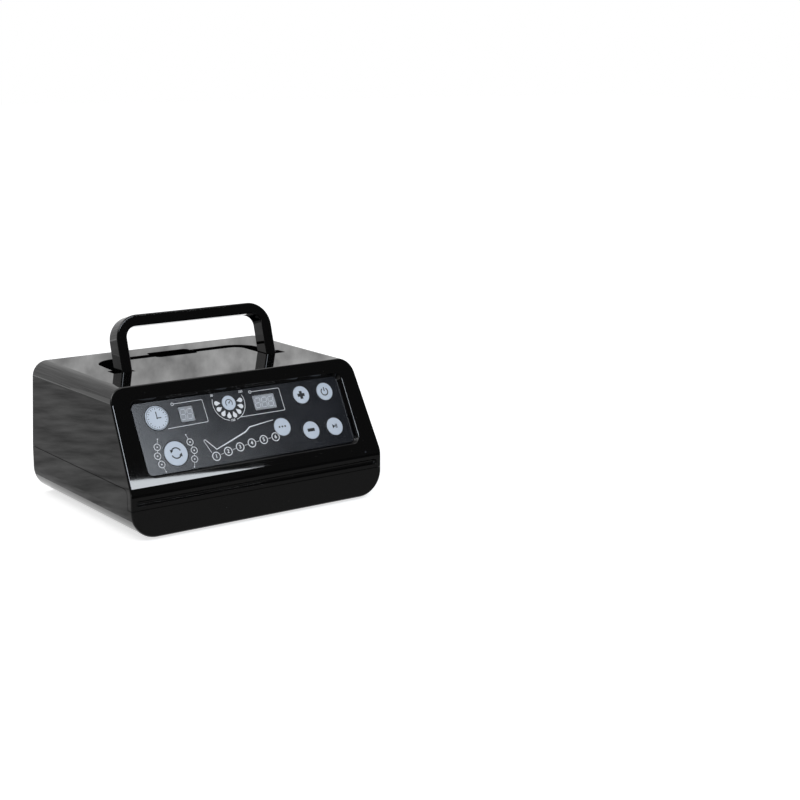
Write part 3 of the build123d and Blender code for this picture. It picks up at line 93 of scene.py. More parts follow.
def flatten(piece, width):
    # a round stroke pressed to the height of ink
    piece.scale.z = 2 * inkHeight / width
    pick(piece)
    bpy.ops.object.transform_apply(location=False, rotation=False, scale=True)
    return piece


def stroke(points, width, taper=None):
    # a printed line through points in millimetres
    curve = bpy.data.curves.new("stroke", "CURVE")
    curve.dimensions = "3D"
    spline = curve.splines.new("POLY")
    spline.points.add(len(points) - 1)
    for i, (x, y) in enumerate(points):
        spline.points[i].co = (x * mm, y * mm, 0, 1)
        spline.points[i].radius = taper[i] if taper else 1.0
    curve.bevel_depth = width / 2 * mm
    curve.bevel_resolution = 2
    curve.use_fill_caps = True
    piece = bpy.data.objects.new("stroke", curve)
    bpy.context.collection.objects.link(piece)
    return flatten(asMesh(piece), width)


def ring(x, y, radius, width, segments):
    deselectAll()
    bpy.ops.mesh.primitive_torus_add(
        major_radius=radius * mm, minor_radius=width / 2 * mm, major_segments=segments,
        minor_segments=8, location=(x * mm, y * mm, 0))
    piece = bpy.context.view_layer.objects.active
    return flatten(piece, width)


def dot(x, y, radius):
    deselectAll()
    bpy.ops.mesh.primitive_uv_sphere_add(
        segments=24, ring_count=8, radius=radius * mm, location=(x * mm, y * mm, 0))
    return flatten(bpy.context.view_layer.objects.active, 2 * radius)


def pointAt(x, y, radius, degrees):
    angle = math.radians(degrees)
    return (x + radius * math.cos(angle), y + radius * math.sin(angle))


def arcPoints(x, y, radius, start, end, steps=32):
    # degrees, counted anticlockwise
    return [pointAt(x, y, radius, start + (end - start) * i / steps) for i in range(steps + 1)]


def number(text, x, y, size):
    curve = bpy.data.curves.new("number", "FONT")
    curve.body = text
    curve.size = size * mm
    curve.align_x = "CENTER"
    curve.align_y = "CENTER"
    curve.extrude = inkHeight * mm
    curve.offset = size * boldness * mm
    piece = bpy.data.objects.new("number", curve)
    bpy.context.collection.objects.link(piece)
    piece.location = (x * mm, y * mm, 0)
    return asMesh(piece)


def linkLine(start, end, firstGap, lastGap):
    # a thin line between two marks that stops short of both
    (x0, y0), (x1, y1) = start, end
    along = Vector((x1 - x0, y1 - y0)).normalized()
    return stroke([(x0 + along.x * firstGap, y0 + along.y * firstGap),
                   (x1 - along.x * lastGap, y1 - along.y * lastGap)], thinLine)


def arrowHead(x, y, turn, length, width):
    # a filled printed triangle that points along its turn, in degrees from +X
    deselectAll()
    bpy.ops.mesh.primitive_circle_add(vertices=3, radius=mm, fill_type="NGON")
    piece = bpy.context.view_layer.objects.active
    # its sides are the root of 3 long and it stands 1.5 high, in millimetres
    piece.scale = (width / 3 ** 0.5, length / 1.5, 1)
    piece.rotation_euler.z = math.radians(turn - 90)
    piece.location = (x * mm, y * mm, 0)
    bpy.ops.object.transform_apply(location=True, rotation=True, scale=True)
    solid = piece.modifiers.new("thickness", "SOLIDIFY")
    solid.thickness = 2 * inkHeight * mm
    solid.offset = 0
    bpy.ops.object.modifier_apply(modifier=solid.name)
    return piece


def toLinear(hexColor):
    # sRGB to linear light
    values = []
    for i in (1, 3, 5):
        c = int(hexColor[i:i + 2], 16) / 255
        values.append(c / 12.92 if c <= 0.04045 else ((c + 0.055) / 1.055) ** 2.4)
    return (*values, 1.0)


def setInputs(tree, node, inputs):
    # what goes into a node's sockets: a value or another node's output
    for socket, value in inputs.items():
        if isinstance(value, bpy.types.NodeSocket):
            tree.links.new(value, node.inputs[socket])
        else:
            node.inputs[socket].default_value = value


def addNode(tree, kind, inputs=None, **settings):
    node = tree.nodes.new(kind)
    for name, value in settings.items():
        setattr(node, name, value)
    setInputs(tree, node, inputs or {})
    return node


def startMaterial(name):
    material = bpy.data.materials.new(name)
    material.use_nodes = True
    tree = material.node_tree
    shader = tree.nodes["Principled BSDF"]
    coords = addNode(tree, "ShaderNodeTexCoord").outputs["Object"]
    return material, tree, shader, coords


def perMm(size):
    # noise scale for a feature of that size in millimetres
    return 1000.0 / size


def noise(tree, coords, size, detail):
    # soft random patches of that size in millimetres
    return addNode(tree, "ShaderNodeTexNoise", {
        "Vector": coords, "Scale": perMm(size), "Detail": detail}).outputs["Fac"]


def relief(tree, height, depth, below=None):
    # small heights of that depth in millimetres, on top of others where they are given
    inputs = {"Height": height, "Distance": depth * mm, "Strength": 1.0}
    if below:
        inputs["Normal"] = below
    return addNode(tree, "ShaderNodeBump", inputs).outputs[0]


def ramp(tree, value, stops):
    node = addNode(tree, "ShaderNodeValToRGB", {"Fac": value})
    elements = node.color_ramp.elements
    while len(elements) < len(stops):
        elements.new(0.5)
    for element, (place, color) in zip(elements, stops):
        element.position = place
        element.color = color
    return node.outputs["Color"]


def grey(v):
    return (v, v, v, 1.0)


def toneRamp(tree, value, first, last, span):
    # from one hex colour to another over that span of the value
    return ramp(tree, value, [(span[0], toLinear(first)), (span[1], toLinear(last))])


def roughRamp(tree, value, first, last, span):
    return ramp(tree, value, [(span[0], grey(first)), (span[1], grey(last))])


fullSpan = (0.0, 1.0)
noiseSpan = (0.3, 0.7)       # where most of a noise's values lie
handledSpan = (0.35, 0.7)    # the same, for handled places
rubbedSpan = (0.35, 0.75)    # and for rubbed ones
refraction = {"abs": 1.5, "polycarbonate": 1.58, "acrylic": 1.49}
patchMm = {"case": 60.0, "film": 30.0, "textured": 25.0, "window": 6.0}     # uneven places
depthMm = {"window": 0.004, "tracks": 0.03, "turns": 0.15}                  # relief
roughSpread = {"film": 0.05, "textured": 0.15, "metal": 0.2}     # smoothest to roughest places
boardLook = {"line": 0.06, "shade": 0.15, "roughness": 0.35}
wireLook = {"metallic": 0.6, "roughness": 0.35, "waves": 6.28, "waver": 0.3}
speckSize = 0.045            # of the space between specks of dust


def glossBlackAbs(name, look):
    # ABS from a polished mould: deep black, mirror-like, with a faint ripple and orange peel from
    # the moulding, places dulled by handling and a little dust
    material, tree, shader, coords = startMaterial(name)
    ripple = noise(tree, coords, look["rippleMm"], detail=1.0)
    peel = noise(tree, coords, look["peelMm"], detail=2.0)
    dust = addNode(tree, "ShaderNodeTexVoronoi", {"Vector": coords, "Scale": perMm(look["dustMm"])})
    speck = ramp(tree, dust.outputs["Distance"], [(0.0, grey(1)), (speckSize, grey(0))])
    handled = noise(tree, coords, patchMm["case"], detail=4.0)
    patch = roughRamp(tree, handled, look["roughness"], look["wornRoughness"], handledSpan)
    color = addNode(tree, "ShaderNodeMix", {
        "Factor": speck, "A": toLinear(look["color"]), "B": toLinear(look["dust"])}, data_type="RGBA")
    rough = addNode(tree, "ShaderNodeMath", {0: patch, 1: speck}, operation="MAXIMUM")
    low = relief(tree, ripple, look["rippleDepth"])
    setInputs(tree, shader, {
        "Base Color": color.outputs["Result"], "Roughness": rough.outputs[0],
        "Normal": relief(tree, peel, look["peelDepth"], low), "IOR": refraction["abs"]})
    return material


def plasticFilm(name, look):
    # polycarbonate film and lenses, screen ink and diffuser resin: even colour under satin grain
    material, tree, shader, coords = startMaterial(name)
    grain = noise(tree, coords, look["grainMm"], detail=3.0)
    cloud = noise(tree, coords, patchMm["film"], detail=3.0)
    smooth = look["roughness"]
    setInputs(tree, shader, {
        "Base Color": toneRamp(tree, cloud, look["color"], look["colorWorn"], noiseSpan),
        "Roughness": roughRamp(tree, cloud, smooth, smooth + roughSpread["film"], noiseSpan),
        "Normal": relief(tree, grain, look["grainDepth"]), "IOR": refraction["polycarbonate"]})
    return material


def texturedPlastic(name, look):
    # moulded plastic and rubber, cast epoxy and sintered ferrite: the grain of the mould, and a
    # little paler where it has been rubbed
    material, tree, shader, coords = startMaterial(name)
    grain = noise(tree, coords, look["grainMm"], detail=4.0)
    rub = noise(tree, coords, patchMm["textured"], detail=5.0)
    smooth = look["roughness"]
    setInputs(tree, shader, {
        "Base Color": toneRamp(tree, rub, look["color"], look["colorWorn"], rubbedSpan),
        "Roughness": roughRamp(tree, grain, smooth, smooth + roughSpread["textured"], noiseSpan),
        "Normal": relief(tree, grain, look["grainDepth"]), "IOR": refraction["abs"]})
    return material


def bareMetal(name, look):
    # plated or cast metal: fine turning or casting marks in its roughness
    material, tree, shader, coords = startMaterial(name)
    stretch = addNode(tree, "ShaderNodeMapping", {"Vector": coords, "Scale": look["stretch"]})
    marks = noise(tree, stretch.outputs[0], look["markMm"], detail=5.0)
    smooth = look["roughness"]
    setInputs(tree, shader, {
        "Base Color": toneRamp(tree, marks, look["color"], look["colorWorn"], noiseSpan),
        "Roughness": roughRamp(tree, marks, smooth, smooth + roughSpread["metal"], noiseSpan),
        "Normal": relief(tree, marks, look["markDepth"]), "Metallic": 1.0})
    return material


def clearWindow(name, look):
    # moulded acrylic: clear, hardly tinted, with a faint ripple
    material, tree, shader, coords = startMaterial(name)
    ripple = noise(tree, coords, patchMm["window"], detail=1.0)
    setInputs(tree, shader, {
        "Base Color": toneRamp(tree, ripple, look["color"], look["colorWorn"], noiseSpan),
        "Roughness": look["roughness"], "Transmission Weight": 1.0,
        "Normal": relief(tree, ripple, depthMm["window"]), "IOR": refraction["acrylic"]})
    return material


def circuitBoard(name, look):
    # glass-epoxy board: solder mask over copper tracks that show as slightly paler, raised lines
    material, tree, shader, coords = startMaterial(name)
    tracks = addNode(tree, "ShaderNodeTexBrick", {
        "Vector": coords, "Scale": perMm(look["trackMm"]), "Mortar Size": boardLook["line"],
        "Color1": grey(0), "Color2": grey(boardLook["shade"]), "Mortar": grey(1)}).outputs["Color"]
    setInputs(tree, shader, {
        "Base Color": toneRamp(tree, tracks, look["color"], look["track"], fullSpan),
        "Roughness": boardLook["roughness"], "Normal": relief(tree, tracks, depthMm["tracks"])})
    return material


def woundCopper(name, look):
    # enamelled wire under clear tape: parallel bands, each about two wires wide, the copper colour
    # going dark where the relief is low, which is painted shade in the hollows between the bands
    material, tree, shader, coords = startMaterial(name)
    turns = addNode(tree, "ShaderNodeTexWave", {
        "Vector": coords, "Scale": perMm(look["wireMm"]) / wireLook["waves"],
        "Distortion": wireLook["waver"]}, wave_type="BANDS", bands_direction="Z").outputs["Fac"]
    setInputs(tree, shader, {
        # the dark tone follows the low parts of the relief: painted shade, not a colour of the wire
        "Base Color": toneRamp(tree, turns, look["dark"], look["color"], fullSpan),
        "Roughness": wireLook["roughness"], "Metallic": wireLook["metallic"],
        "Normal": relief(tree, turns, depthMm["turns"])})
    return material


caseLook = {"color": "#080808", "dust": "#5A5954", "roughness": 0.012, "wornRoughness": 0.025,
            "rippleMm": 40.0, "rippleDepth": 0.003, "peelMm": 3.0, "peelDepth": 0.0003,
            "dustMm": 9.0}
handleLook = {**caseLook, "roughness": 0.035, "wornRoughness": 0.08}
filmLook = {"color": "#11141A", "colorWorn": "#15181F", "roughness": 0.17, "grainMm": 0.5,
            "grainDepth": 0.0012}
keyLook = {"color": "#C3CEDC", "colorWorn": "#CBD5E1", "roughness": 0.3, "grainMm": 0.5,
           "grainDepth": 0.004}
materials = {
    "case": glossBlackAbs("polishedBlackAbs", caseLook),
    "handle": glossBlackAbs("polishedBlackAbsHandle", handleLook),
    "film": plasticFilm("slatePolycarbonateFilm", filmLook),
    "key": plasticFilm("paleBluePolycarbonate", keyLook),
    "ink": plasticFilm("whiteScreenInk", {
        "color": "#F0F2F5", "colorWorn": "#E8EBEF", "roughness": 0.45,
        "grainMm": 0.4, "grainDepth": 0.003}),
    "keyInk": plasticFilm("blackScreenInk", {
        "color": "#0C0D10", "colorWorn": "#121317", "roughness": 0.5,
        "grainMm": 0.4, "grainDepth": 0.003}),
    "smokedLens": plasticFilm("smokedLensPolycarbonate", {
        "color": "#25272C", "colorWorn": "#2E3036", "roughness": 0.2,
        "grainMm": 0.8, "grainDepth": 0.002}),
    "milkyLens": plasticFilm("milkyLensPolycarbonate", {
        "color": "#EDEFF2", "colorWorn": "#E2E5EA", "roughness": 0.3,
        "grainMm": 0.8, "grainDepth": 0.002}),
    "window": clearWindow("clearAcrylic", {
        "color": "#F4F6F8", "colorWorn": "#ECEFF2", "roughness": 0.04}),
    "display": texturedPlastic("greyDisplayEpoxy", {
        "color": "#A6A9AE", "colorWorn": "#ACAFB4", "roughness": 0.45,
        "grainMm": 0.6, "grainDepth": 0.004}),
    "segment": plasticFilm("paleDiffuserResin", {
        "color": "#EEF0F3", "colorWorn": "#E6E8EC", "roughness": 0.4,
        "grainMm": 0.4, "grainDepth": 0.003}),
    "rear": texturedPlastic("blackTexturedAbs", {
        "color": "#121213", "colorWorn": "#191A1B", "roughness": 0.45,
        "grainMm": 0.7, "grainDepth": 0.02}),
    "fitting": texturedPlastic("blackNylon", {
        "color": "#151516", "colorWorn": "#1D1D1F", "roughness": 0.35,
        "grainMm": 0.5, "grainDepth": 0.008}),
    "rubber": texturedPlastic("blackFootRubber", {
        "color": "#19191A", "colorWorn": "#232324", "roughness": 0.75,
        "grainMm": 0.6, "grainDepth": 0.02}),
    "whiteNylon": texturedPlastic("naturalNylon", {
        "color": "#CFCFC9", "colorWorn": "#DAD9D2", "roughness": 0.4,
        "grainMm": 0.6, "grainDepth": 0.01}),
    "hose": texturedPlastic("siliconeHose", {
        "color": "#BDB9AE", "colorWorn": "#C9C5BB", "roughness": 0.35,
        "grainMm": 1.2, "grainDepth": 0.01}),
    "steel": bareMetal("zincPlatedSteel", {
        "color": "#B9BCC0", "colorWorn": "#A3A6AA", "roughness": 0.28,
        "markMm": 0.5, "markDepth": 0.004, "stretch": (1, 1, 1)}),
    "brass": bareMetal("nickelPlatedBrass", {
        "color": "#CFC9B4", "colorWorn": "#BDB69F", "roughness": 0.2,
        "markMm": 0.4, "markDepth": 0.002, "stretch": (1, 0.1, 1)}),
    "castAluminium": bareMetal("castAluminium", {
        "color": "#B4B6B8", "colorWorn": "#8F9194", "roughness": 0.4,
        "markMm": 0.8, "markDepth": 0.03, "stretch": (1, 1, 1)}),
    "ferrite": texturedPlastic("sinteredFerrite", {
        "color": "#2A2A2C", "colorWorn": "#363638", "roughness": 0.6,
        "grainMm": 0.3, "grainDepth": 0.02}),
    "board": circuitBoard("greenSolderMask", {
        "color": "#0F4A26", "track": "#2B7A45", "trackMm": 9.0}),
    "copper": woundCopper("enamelledCopper", {
        # dark: painted shade for the hollows between the bands of wire
        "color": "#C77A3A", "dark": "#6B3614", "wireMm": 0.8}),
}

nodeFinish = {
    "case": ["upper_housing", "lower_housing"],
    "handle": ["handle", "handle_spacers"],
    "film": ["panel_overlay"],
    "key": ["time_key", "mode_key", "pressure_key", "option_key", "plus_key", "minus_key",
            "power_key", "start_key"],
    "smokedLens": ["mode_lamps", "chamber_lamps", "status_lamp"],
    "milkyLens": ["pressure_lamps", "board_lamps"],
    "window": ["time_window", "pressure_window"],
    "display": ["time_display", "pressure_display"],
    "rear": ["rear_panel"],
    "fitting": ["hose_sockets", "mains_inlet", "fuse_drawer", "rocker_switch", "fan_frame",
                "fan_rotor", "board_chips", "key_switches", "mains_capacitors"],
    "rubber": ["feet", "pump_mounts"],
    "whiteNylon": ["valve_manifold", "solenoid_valves", "pump_air_chamber"],
    "hose": ["outlet_hoses", "pump_hose"],
    "steel": ["handle_pins", "board_screws", "case_screws", "foot_screws", "fan_screws",
              "rear_panel_screws", "pump_screws", "pump_frame", "valve_bracket",
              "mains_board_screws"],
    "brass": ["inlet_blades"],
    "castAluminium": ["pump_heads", "pump_armature"],
    "ferrite": ["pump_magnets", "pump_cores", "mains_transformer"],
    "board": ["control_board", "mains_board"],
    "copper": ["pump_coils"],
}
smoothBelow = {"node": 32, "print": 40}     # degrees between faces that still shade as one
for finish, names in nodeFinish.items():
    for name in names:
        obj = nodes[name]
        obj.data.materials.clear()
        obj.data.materials.append(materials[finish])
        pick(obj)
        bpy.ops.object.shade_smooth_by_angle(angle=math.radians(smoothBelow["node"]))
print("node materials done")


def finishPiece(piece, finish, body):
    piece.data.materials.clear()
    piece.data.materials.append(materials[finish])
    pick(piece)
    bpy.ops.object.shade_smooth_by_angle(angle=math.radians(smoothBelow["print"]))
    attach(piece, body)


# white print on the panel film
timeFrame = {
    "ring": (-94.3, 103.6, 1.7), "line": 0.7,
    "corners": [(-92.4, 103.7), (-53.5, 104.2), (-52.5, 103.1), (-51.9, 76.2), (-53.0, 75.1),
                (-108.5, 73.7)]}
pressureFrame = {
    "ring": (17.0, 105.0, 1.7), "line": 0.7,
    "corners": [(18.9, 105.1), (58.6, 105.2), (59.7, 104.1), (60.1, 76.2), (59.0, 75.1),
                (-5.3, 74.6)]}
dialScale = {"radius": 22.7, "left": (160.0, 258.0), "right": (284.0, 382.0), "line": 0.7,
             "numbers": {"30": (-38.0, 107.2), "150": (-17.6, 72.1), "250": (3.6, 107.2)},
             "size": 4.0}


def panelLines():
    pieces = []
    for look in (timeFrame, pressureFrame):
        x, y, radius = look["ring"]
        pieces.append(ring(x, y, radius, look["line"], segments=24))
        pieces.append(stroke(look["corners"], look["line"]))
    x, y = keyPlaces["pressure_key"]
    for start, end in (dialScale["left"], dialScale["right"]):
        pieces.append(stroke(arcPoints(x, y, dialScale["radius"], start, end), dialScale["line"]))
    for text, (nx, ny) in dialScale["numbers"].items():
        pieces.append(number(text, nx, ny, dialScale["size"]))
    return pieces


modeMarks = {"circle": 25.0, "step": 26.0, "ring": 4.15, "line": 0.8, "spot": 0.95,
             "tip": 0.85, "tipRadius": 28.4, "tipTurn": 47.0}


def modeLines():
    # two bowed chains of three rings, each with a dot at both ends
    cx, cy = keyPlaces["mode_key"]
    pieces = []
    for side in (-1, 1):
        places = []
        for step in (-1, 0, 1):
            angle = math.radians(step * modeMarks["step"])
            places.append((cx + side * modeMarks["circle"] * math.cos(angle),
                           cy + modeMarks["circle"] * math.sin(angle)))
        for x, y in places:
            pieces.append(ring(x, y, modeMarks["ring"], modeMarks["line"], segments=40))
            pieces.append(dot(x, y, modeMarks["spot"]))
        tips = []
        for way in (-1, 1):
            angle = math.radians(way * modeMarks["tipTurn"])
            tips.append((cx + side * modeMarks["tipRadius"] * math.cos(angle),
                         cy + modeMarks["tipRadius"] * math.sin(angle)))
        chain = [tips[0], *places, tips[1]]
        gaps = [modeMarks["ring"] if mark in places else modeMarks["tip"] for mark in chain]
        for i in range(len(chain) - 1):
            pieces.append(linkLine(chain[i], chain[i + 1], gaps[i], gaps[i + 1]))
        for x, y in tips:
            pieces.append(dot(x, y, modeMarks["tip"]))
    return pieces


chamberMarks = {"count": 6, "first": (-54.0, 29.95), "pitch": 17.9, "rise": 4.15, "sag": 0.335,
                "ring": 5.3, "line": 1.1, "number": 6.6, "gap": 1.4}


def chamberPlaces():
    x, y = chamberMarks["first"]
    return [(x + chamberMarks["pitch"] * i,
             y + chamberMarks["rise"] * i - chamberMarks["sag"] * i * i)
            for i in range(chamberMarks["count"])]


def chamberLines():
    pieces = []
    places = chamberPlaces()
    for i, (x, y) in enumerate(places):
        pieces.append(ring(x, y, chamberMarks["ring"], chamberMarks["line"], segments=48))
        pieces.append(number(str(i + 1), x, y, chamberMarks["number"]))
    gap = chamberMarks["ring"] + chamberMarks["gap"]
    for start, end in zip(places, places[1:]):
        pieces.append(linkLine(start, end, gap, gap))
    return pieces


# one long line that swells and thins, over the numbered rings
profileLine = {
    "points": [(-59.0, 35.5), (-65.2, 50.6), (-65.0, 52.6), (-63.2, 52.8), (-50.9, 38.7),
               (-28.0, 46.6), (-4.8, 54.9), (2.6, 60.2), (20.0, 62.4), (38.6, 64.6)],
    "width": 1.35, "taper": [0.45, 0.5, 0.6, 0.8, 1.0, 1.15, 1.15, 1.0, 0.8, 0.45]}

filmPrint = joinPieces("filmPrint", panelLines() + modeLines() + chamberLines() + [
    stroke(profileLine["points"], profileLine["width"], taper=profileLine["taper"])])
layOnPanel(filmPrint, levels["film"])
finishPiece(filmPrint, "ink", "case")
print("film print done")

# dark print on the film round the keys
rimLook = {"gap": 0.75, "line": 1.0}
keyRadii = {"time_key": 15.5, "mode_key": 15.5, "pressure_key": 9.5, "option_key": 11.75,
            "plus_key": 11.75, "minus_key": 11.75, "power_key": 11.75, "start_key": 11.75}
rims = joinPieces("keyRims", [
    ring(*keyPlaces[key], radius + rimLook["gap"], rimLook["line"], segments=64)
    for key, radius in keyRadii.items()])
layOnPanel(rims, levels["film"])
finishPiece(rims, "keyInk", "case")

# dark print on the keys
keyIcons = {
    "time": {"dial": 12.9, "ticks": 24, "tick": 2.2, "line": 0.75, "hands": 1.4, "up": 8.2,
             "across": 5.6, "hub": 1.1, "ring": 14.3, "ringLine": 0.6},
    "mode": {"radius": 6.6, "line": 1.6, "arc": (20, 140), "headPlace": 152, "headTurn": 246,
             "headSize": (4.32, 4.8)},
    "pressure": {"radius": 4.6, "line": 1.1, "arc": (-40, 220), "needle": (2.3, 2.5), "hub": 0.9},
    "option": {"dot": 1.25, "spread": 4.2},
    "sign": {"length": 10.6, "line": 4.2},
    "power": {"radius": 4.9, "line": 1.5, "arc": (125, 415), "low": 0.6, "above": 1.2},
    "start": {"head": 1.76, "headSize": (4.32, 5.76), "bars": (1.7, 3.4), "half": 2.72,
              "line": 1.2},
}


def timeIcon(x, y):
    look = keyIcons["time"]
    pieces = [ring(x, y, look["ring"], look["ringLine"], segments=64)]
    outer = look["dial"]
    # every other tick is half as long
    for i in range(look["ticks"]):
        angle = 360 / look["ticks"] * i
        inner = outer - (look["tick"] * 0.5 if i % 2 else look["tick"])
        ends = [pointAt(x, y, outer, angle), pointAt(x, y, inner, angle)]
        pieces.append(stroke(ends, look["line"]))
    pieces.append(stroke([(x, y + look["up"]), (x, y), (x + look["across"], y)], look["hands"]))
    pieces.append(dot(x, y, look["hub"]))
    return pieces


def modeIcon(x, y):
    # two arrows that follow each other round
    look = keyIcons["mode"]
    pieces = []
    for turn in (0, 180):
        start, end = (turn + angle for angle in look["arc"])
        pieces.append(stroke(arcPoints(x, y, look["radius"], start, end, steps=20), look["line"]))
        head = pointAt(x, y, look["radius"], turn + look["headPlace"])
        pieces.append(arrowHead(*head, turn + look["headTurn"], *look["headSize"]))
    return pieces


def pressureIcon(x, y):
    # a small gauge
    look = keyIcons["pressure"]
    across, up = look["needle"]
    return [stroke(arcPoints(x, y, look["radius"], *look["arc"], steps=28), look["line"]),
            stroke([(x, y), (x + across, y + up)], look["line"]), dot(x, y, look["hub"])]


def optionIcon(x, y):
    look = keyIcons["option"]
    return [dot(x + look["spread"] * i, y, look["dot"]) for i in (-1, 0, 1)]


def signIcon(x, y, plus):
    look = keyIcons["sign"]
    half = look["length"] / 2
    pieces = [stroke([(x - half, y), (x + half, y)], look["line"])]
    if plus:
        pieces.append(stroke([(x, y - half), (x, y + half)], look["line"]))
    return pieces


def powerIcon(x, y):
    look = keyIcons["power"]
    return [stroke(arcPoints(x, y, look["radius"], *look["arc"], steps=36), look["line"]),
            stroke([(x, y + look["low"]), (x, y + look["radius"] + look["above"])], look["line"])]


def startIcon(x, y):
    look = keyIcons["start"]
    return [arrowHead(x - look["head"], y, 0, *look["headSize"]),
            *(stroke([(x + bar, y - look["half"]), (x + bar, y + look["half"])], look["line"])
              for bar in look["bars"])]


iconMakers = {
    "time_key": timeIcon, "mode_key": modeIcon, "pressure_key": pressureIcon,
    "option_key": optionIcon, "plus_key": lambda x, y: signIcon(x, y, True),
    "minus_key": lambda x, y: signIcon(x, y, False),
    "power_key": powerIcon, "start_key": startIcon}
for key, makeIcon in iconMakers.items():
    icon = joinPieces(key.replace("_key", "KeyIcon"), makeIcon(*keyPlaces[key]))
    layOnPanel(icon, levels["key"])
    finishPiece(icon, "keyInk", key)
print("key icons done")

# unlit digits behind the two windows
digitLook = {"height": 12.7, "width": 7.0, "bar": 1.25, "barGap": 0.62, "slant": 8.0, "pitch": 9.6,
             "shift": 0.4, "point": 0.7, "pointGap": 1.5}


def digit(x, y):
    # seven bars and a point
    look = digitLook
    h, w = look["height"] / 2, look["width"]
    gap = look["bar"] * look["barGap"]
    lean = math.tan(math.radians(look["slant"]))
    bars = []
    for level in (-h, 0, h):
        bars.append([(-w / 2 + gap, level), (w / 2 - gap, level)])
    for side in (-1, 1):
        for low in (-h, 0):
            bars.append([(side * w / 2, low + gap), (side * w / 2, low + h - gap)])
    pieces = [stroke([(x + px + lean * py, y + py) for px, py in bar], look["bar"]) for bar in bars]
    pieces.append(dot(x + w / 2 + look["pointGap"] - lean * h, y - h, look["point"]))
    return pieces


# middle on the panel and how many digits
displayPlaces = {"timeDigits": (-78.0, 88.85, 2), "pressureDigits": (34.3, 89.65, 3)}
for name, (x, y, count) in displayPlaces.items():
    strokes = []
    for i in range(count):
        strokes += digit(x + (i - (count - 1) / 2) * digitLook["pitch"] - digitLook["shift"], y)
    digits = joinPieces(name, strokes)
    layOnPanel(digits, levels["display"])
    finishPiece(digits, "segment", "case")
print("display digits done")

# stage: pale floor and room, soft lights, cards that only the gloss sees
stageLook = {"floor": "#E6E6E6", "floorGlow": 0.68, "floorSize": 30.0, "room": 0.42, "backdrop": 1.0,
             "camera": (-0.9957, -1.76345, 0.5696), "yaw": 36.66, "pitch": 12.39, "roll": 0.19,
             "focalPixels": 1577.6, "framePixels": 800, "sensor": 36.0}


def seenDirectly(tree):
    # 1 for rays from the camera and through gloss or glass, 0 for those that light things
    path = addNode(tree, "ShaderNodeLightPath")
    seen = addNode(tree, "ShaderNodeMath", {
        0: path.outputs["Is Camera Ray"],
        1: path.outputs["Is Transmission Ray"]}, operation="MAXIMUM")
    seen = addNode(tree, "ShaderNodeMath", {
        0: seen.outputs[0], 1: path.outputs["Is Glossy Ray"]}, operation="MAXIMUM")
    return seen.outputs[0]


deselectAll()
bpy.ops.mesh.primitive_plane_add(size=stageLook["floorSize"], location=(0, 0, 0))
floor = bpy.context.view_layer.objects.active
floor.name = "floor"
floorMaterial = bpy.data.materials.new("paleFloor")
floorMaterial.use_nodes = True
tree = floorMaterial.node_tree
shader = tree.nodes["Principled BSDF"]
glow = addNode(tree, "ShaderNodeMath", {
    0: seenDirectly(tree), 1: stageLook["floorGlow"]}, operation="MULTIPLY")
setInputs(tree, shader, {
    "Base Color": toLinear(stageLook["floor"]), "Roughness": 1.0, "Specular IOR Level": 0.0,
    "Emission Color": (1, 1, 1, 1), "Emission Strength": glow.outputs[0]})
floor.data.materials.append(floorMaterial)

world = bpy.data.worlds.new("paleRoom")
bpy.context.scene.world = world
world.use_nodes = True
tree = world.node_tree
background = tree.nodes["Background"]
level = addNode(tree, "ShaderNodeMix", {
    "Factor": seenDirectly(tree), "A": stageLook["room"], "B": stageLook["backdrop"]},
    data_type="FLOAT")
setInputs(tree, background, {"Color": (1, 1, 1, 1), "Strength": level.outputs["Result"]})


def softbox(name, look):
    light = bpy.data.lights.new(name, "AREA")
    light.shape = "RECTANGLE"
    light.size, light.size_y = look["size"]
    light.energy = look["power"]
    light.color = look["color"]
    lamp = bpy.data.objects.new(name, light)
    bpy.context.collection.objects.link(lamp)
    lamp.location = look["place"]
    facing = (Vector(look["aim"]) - Vector(look["place"])).to_track_quat("-Z", "Y").to_matrix()
    lamp.rotation_euler = (facing @ Matrix.Rotation(math.radians(look["roll"]), 3, "Z")).to_euler()
    lamp.visible_camera = False


softboxes = {
    "stripLight": {"place": (1.59, -2.54, 2.123), "aim": (1.59, 0.0, 2.123), "size": (0.54, 0.05),
                   "power": 1.25, "roll": -4.76, "color": (0.9, 0.95, 1.0)},
    "frontLight": {"place": (0.505, -2.54, 2.255), "aim": (0.505, 0.0, 2.255), "size": (1.65, 0.65),
                   "power": 44.0, "roll": 0.0, "color": (0.84, 0.91, 1.0)},
    "keyLight": {"place": (-1.5, 0.4, 2.6), "aim": (0, 0, 0.1), "size": (1.6, 1.6), "power": 22.0,
                 "roll": 0.0, "color": (1.0, 1.0, 1.0)},
}
for name, look in softboxes.items():
    softbox(name, look)


# soft blotches on a card: swing is how far they go above and below its level
blotchLook = {"detail": 5.0, "roughness": 0.6, "swing": 0.4}


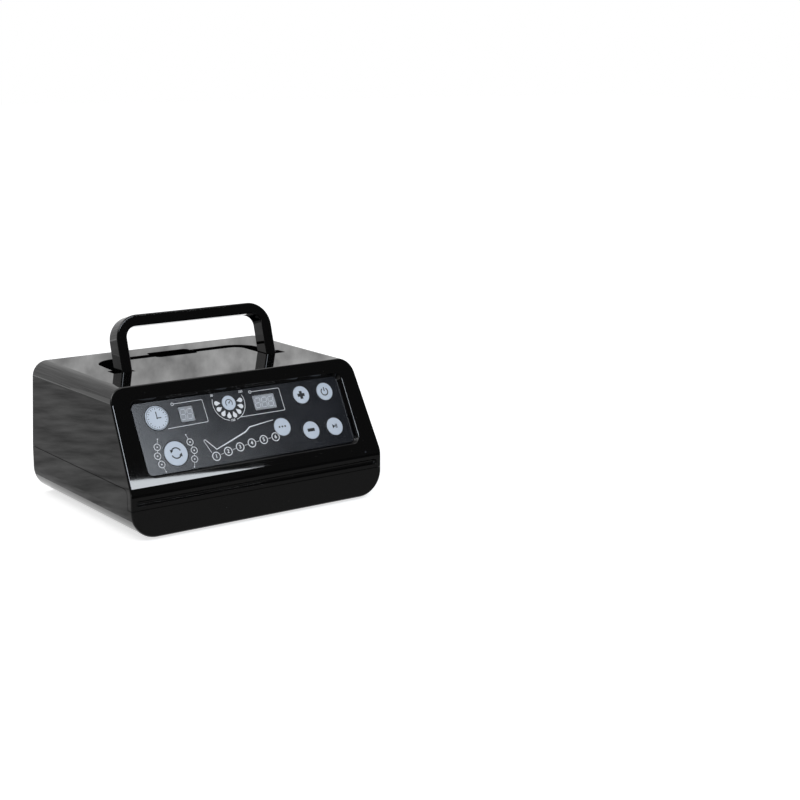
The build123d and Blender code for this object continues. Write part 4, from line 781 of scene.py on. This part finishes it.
def flagCard(name, look):
    # a studio card: it shades reflections, evenly or in soft blotches, and casts nothing
    deselectAll()
    bpy.ops.mesh.primitive_plane_add(size=1.0)
    card = bpy.context.view_layer.objects.active
    card.name = name
    card.scale = (look["size"][0], look["size"][1], 1)
    bpy.ops.object.transform_apply(location=False, rotation=False, scale=True)
    card.rotation_euler = [math.radians(angle) for angle in look["turn"]]
    card.location = look["place"]
    cloth = bpy.data.materials.new(name + "Cloth")
    cloth.use_nodes = True
    tree = cloth.node_tree
    shine = look["level"]
    if "blotch" in look:
        coords = addNode(tree, "ShaderNodeTexCoord").outputs["Object"]
        cloud = addNode(tree, "ShaderNodeTexNoise", {
            "Vector": coords, "Scale": perMm(look["blotch"]), "Detail": blotchLook["detail"],
            "Roughness": blotchLook["roughness"]})
        shine = addNode(tree, "ShaderNodeMapRange", {
            "Value": cloud.outputs["Fac"], "From Min": noiseSpan[0], "From Max": noiseSpan[1],
            "To Min": look["level"] * (1 - blotchLook["swing"]),
            "To Max": look["level"] * (1 + blotchLook["swing"])}).outputs["Result"]
    setInputs(tree, tree.nodes["Principled BSDF"], {
        "Base Color": (0, 0, 0, 1), "Specular IOR Level": 0.0, "Emission Color": (1, 1, 1, 1),
        "Emission Strength": shine})
    card.data.materials.append(cloth)
    card.visible_camera = False
    card.visible_diffuse = False
    card.visible_shadow = False
    card.visible_transmission = False


flagCards = {
    "frontFlag": {"place": (0.7, -2.6, 3.0), "turn": (90, 0, 0), "size": (9.0, 6.0),
                  "level": 0.045},
    "rightFlag": {"place": (3.6, -1.2, 3.0), "turn": (90, 0, 90), "size": (3.4, 6.0),
                  "level": 0.045},
    "leftFlag": {"place": (-3.6, -0.4, 1.8), "turn": (90, 0, 90), "size": (4.4, 3.6),
                 "level": 0.1},
    "nearFloorCard": {"place": (1.1, -0.255, 0.001), "turn": (0, 0, 0), "size": (3.4, 0.22),
                      "level": 0.19},
    "farFloorFlag": {"place": (1.0, -1.5, 0.001), "turn": (0, 0, 0), "size": (4.4, 2.27),
                     "level": 0.015},
    "sideFloorCard": {"place": (-1.0, 0.75, 0.001), "turn": (0, 0, 0), "size": (1.62, 2.0),
                      "level": 0.45, "blotch": 60.0},
    "backCard": {"place": (1.2, 3.2, 1.4), "turn": (90, 0, 0), "size": (6.0, 3.0),
                 "level": 0.72, "blotch": 120.0},
}
for name, look in flagCards.items():
    flagCard(name, look)

camera = bpy.data.cameras.new("camera")
camera.sensor_width = stageLook["sensor"]
camera.lens = stageLook["focalPixels"] * stageLook["sensor"] / stageLook["framePixels"]
viewer = bpy.data.objects.new("camera", camera)
bpy.context.collection.objects.link(viewer)
viewer.location = stageLook["camera"]
turn = Matrix.Rotation(math.radians(-stageLook["yaw"]), 4, "Z")
tilt = Matrix.Rotation(math.radians(90 - stageLook["pitch"]), 4, "X")
rolled = Matrix.Rotation(math.radians(stageLook["roll"]), 4, "Z")
viewer.rotation_euler = (turn @ tilt @ rolled).to_euler()
bpy.context.scene.camera = viewer
bpy.context.scene.view_settings.view_transform = "Standard"
print("stage done")
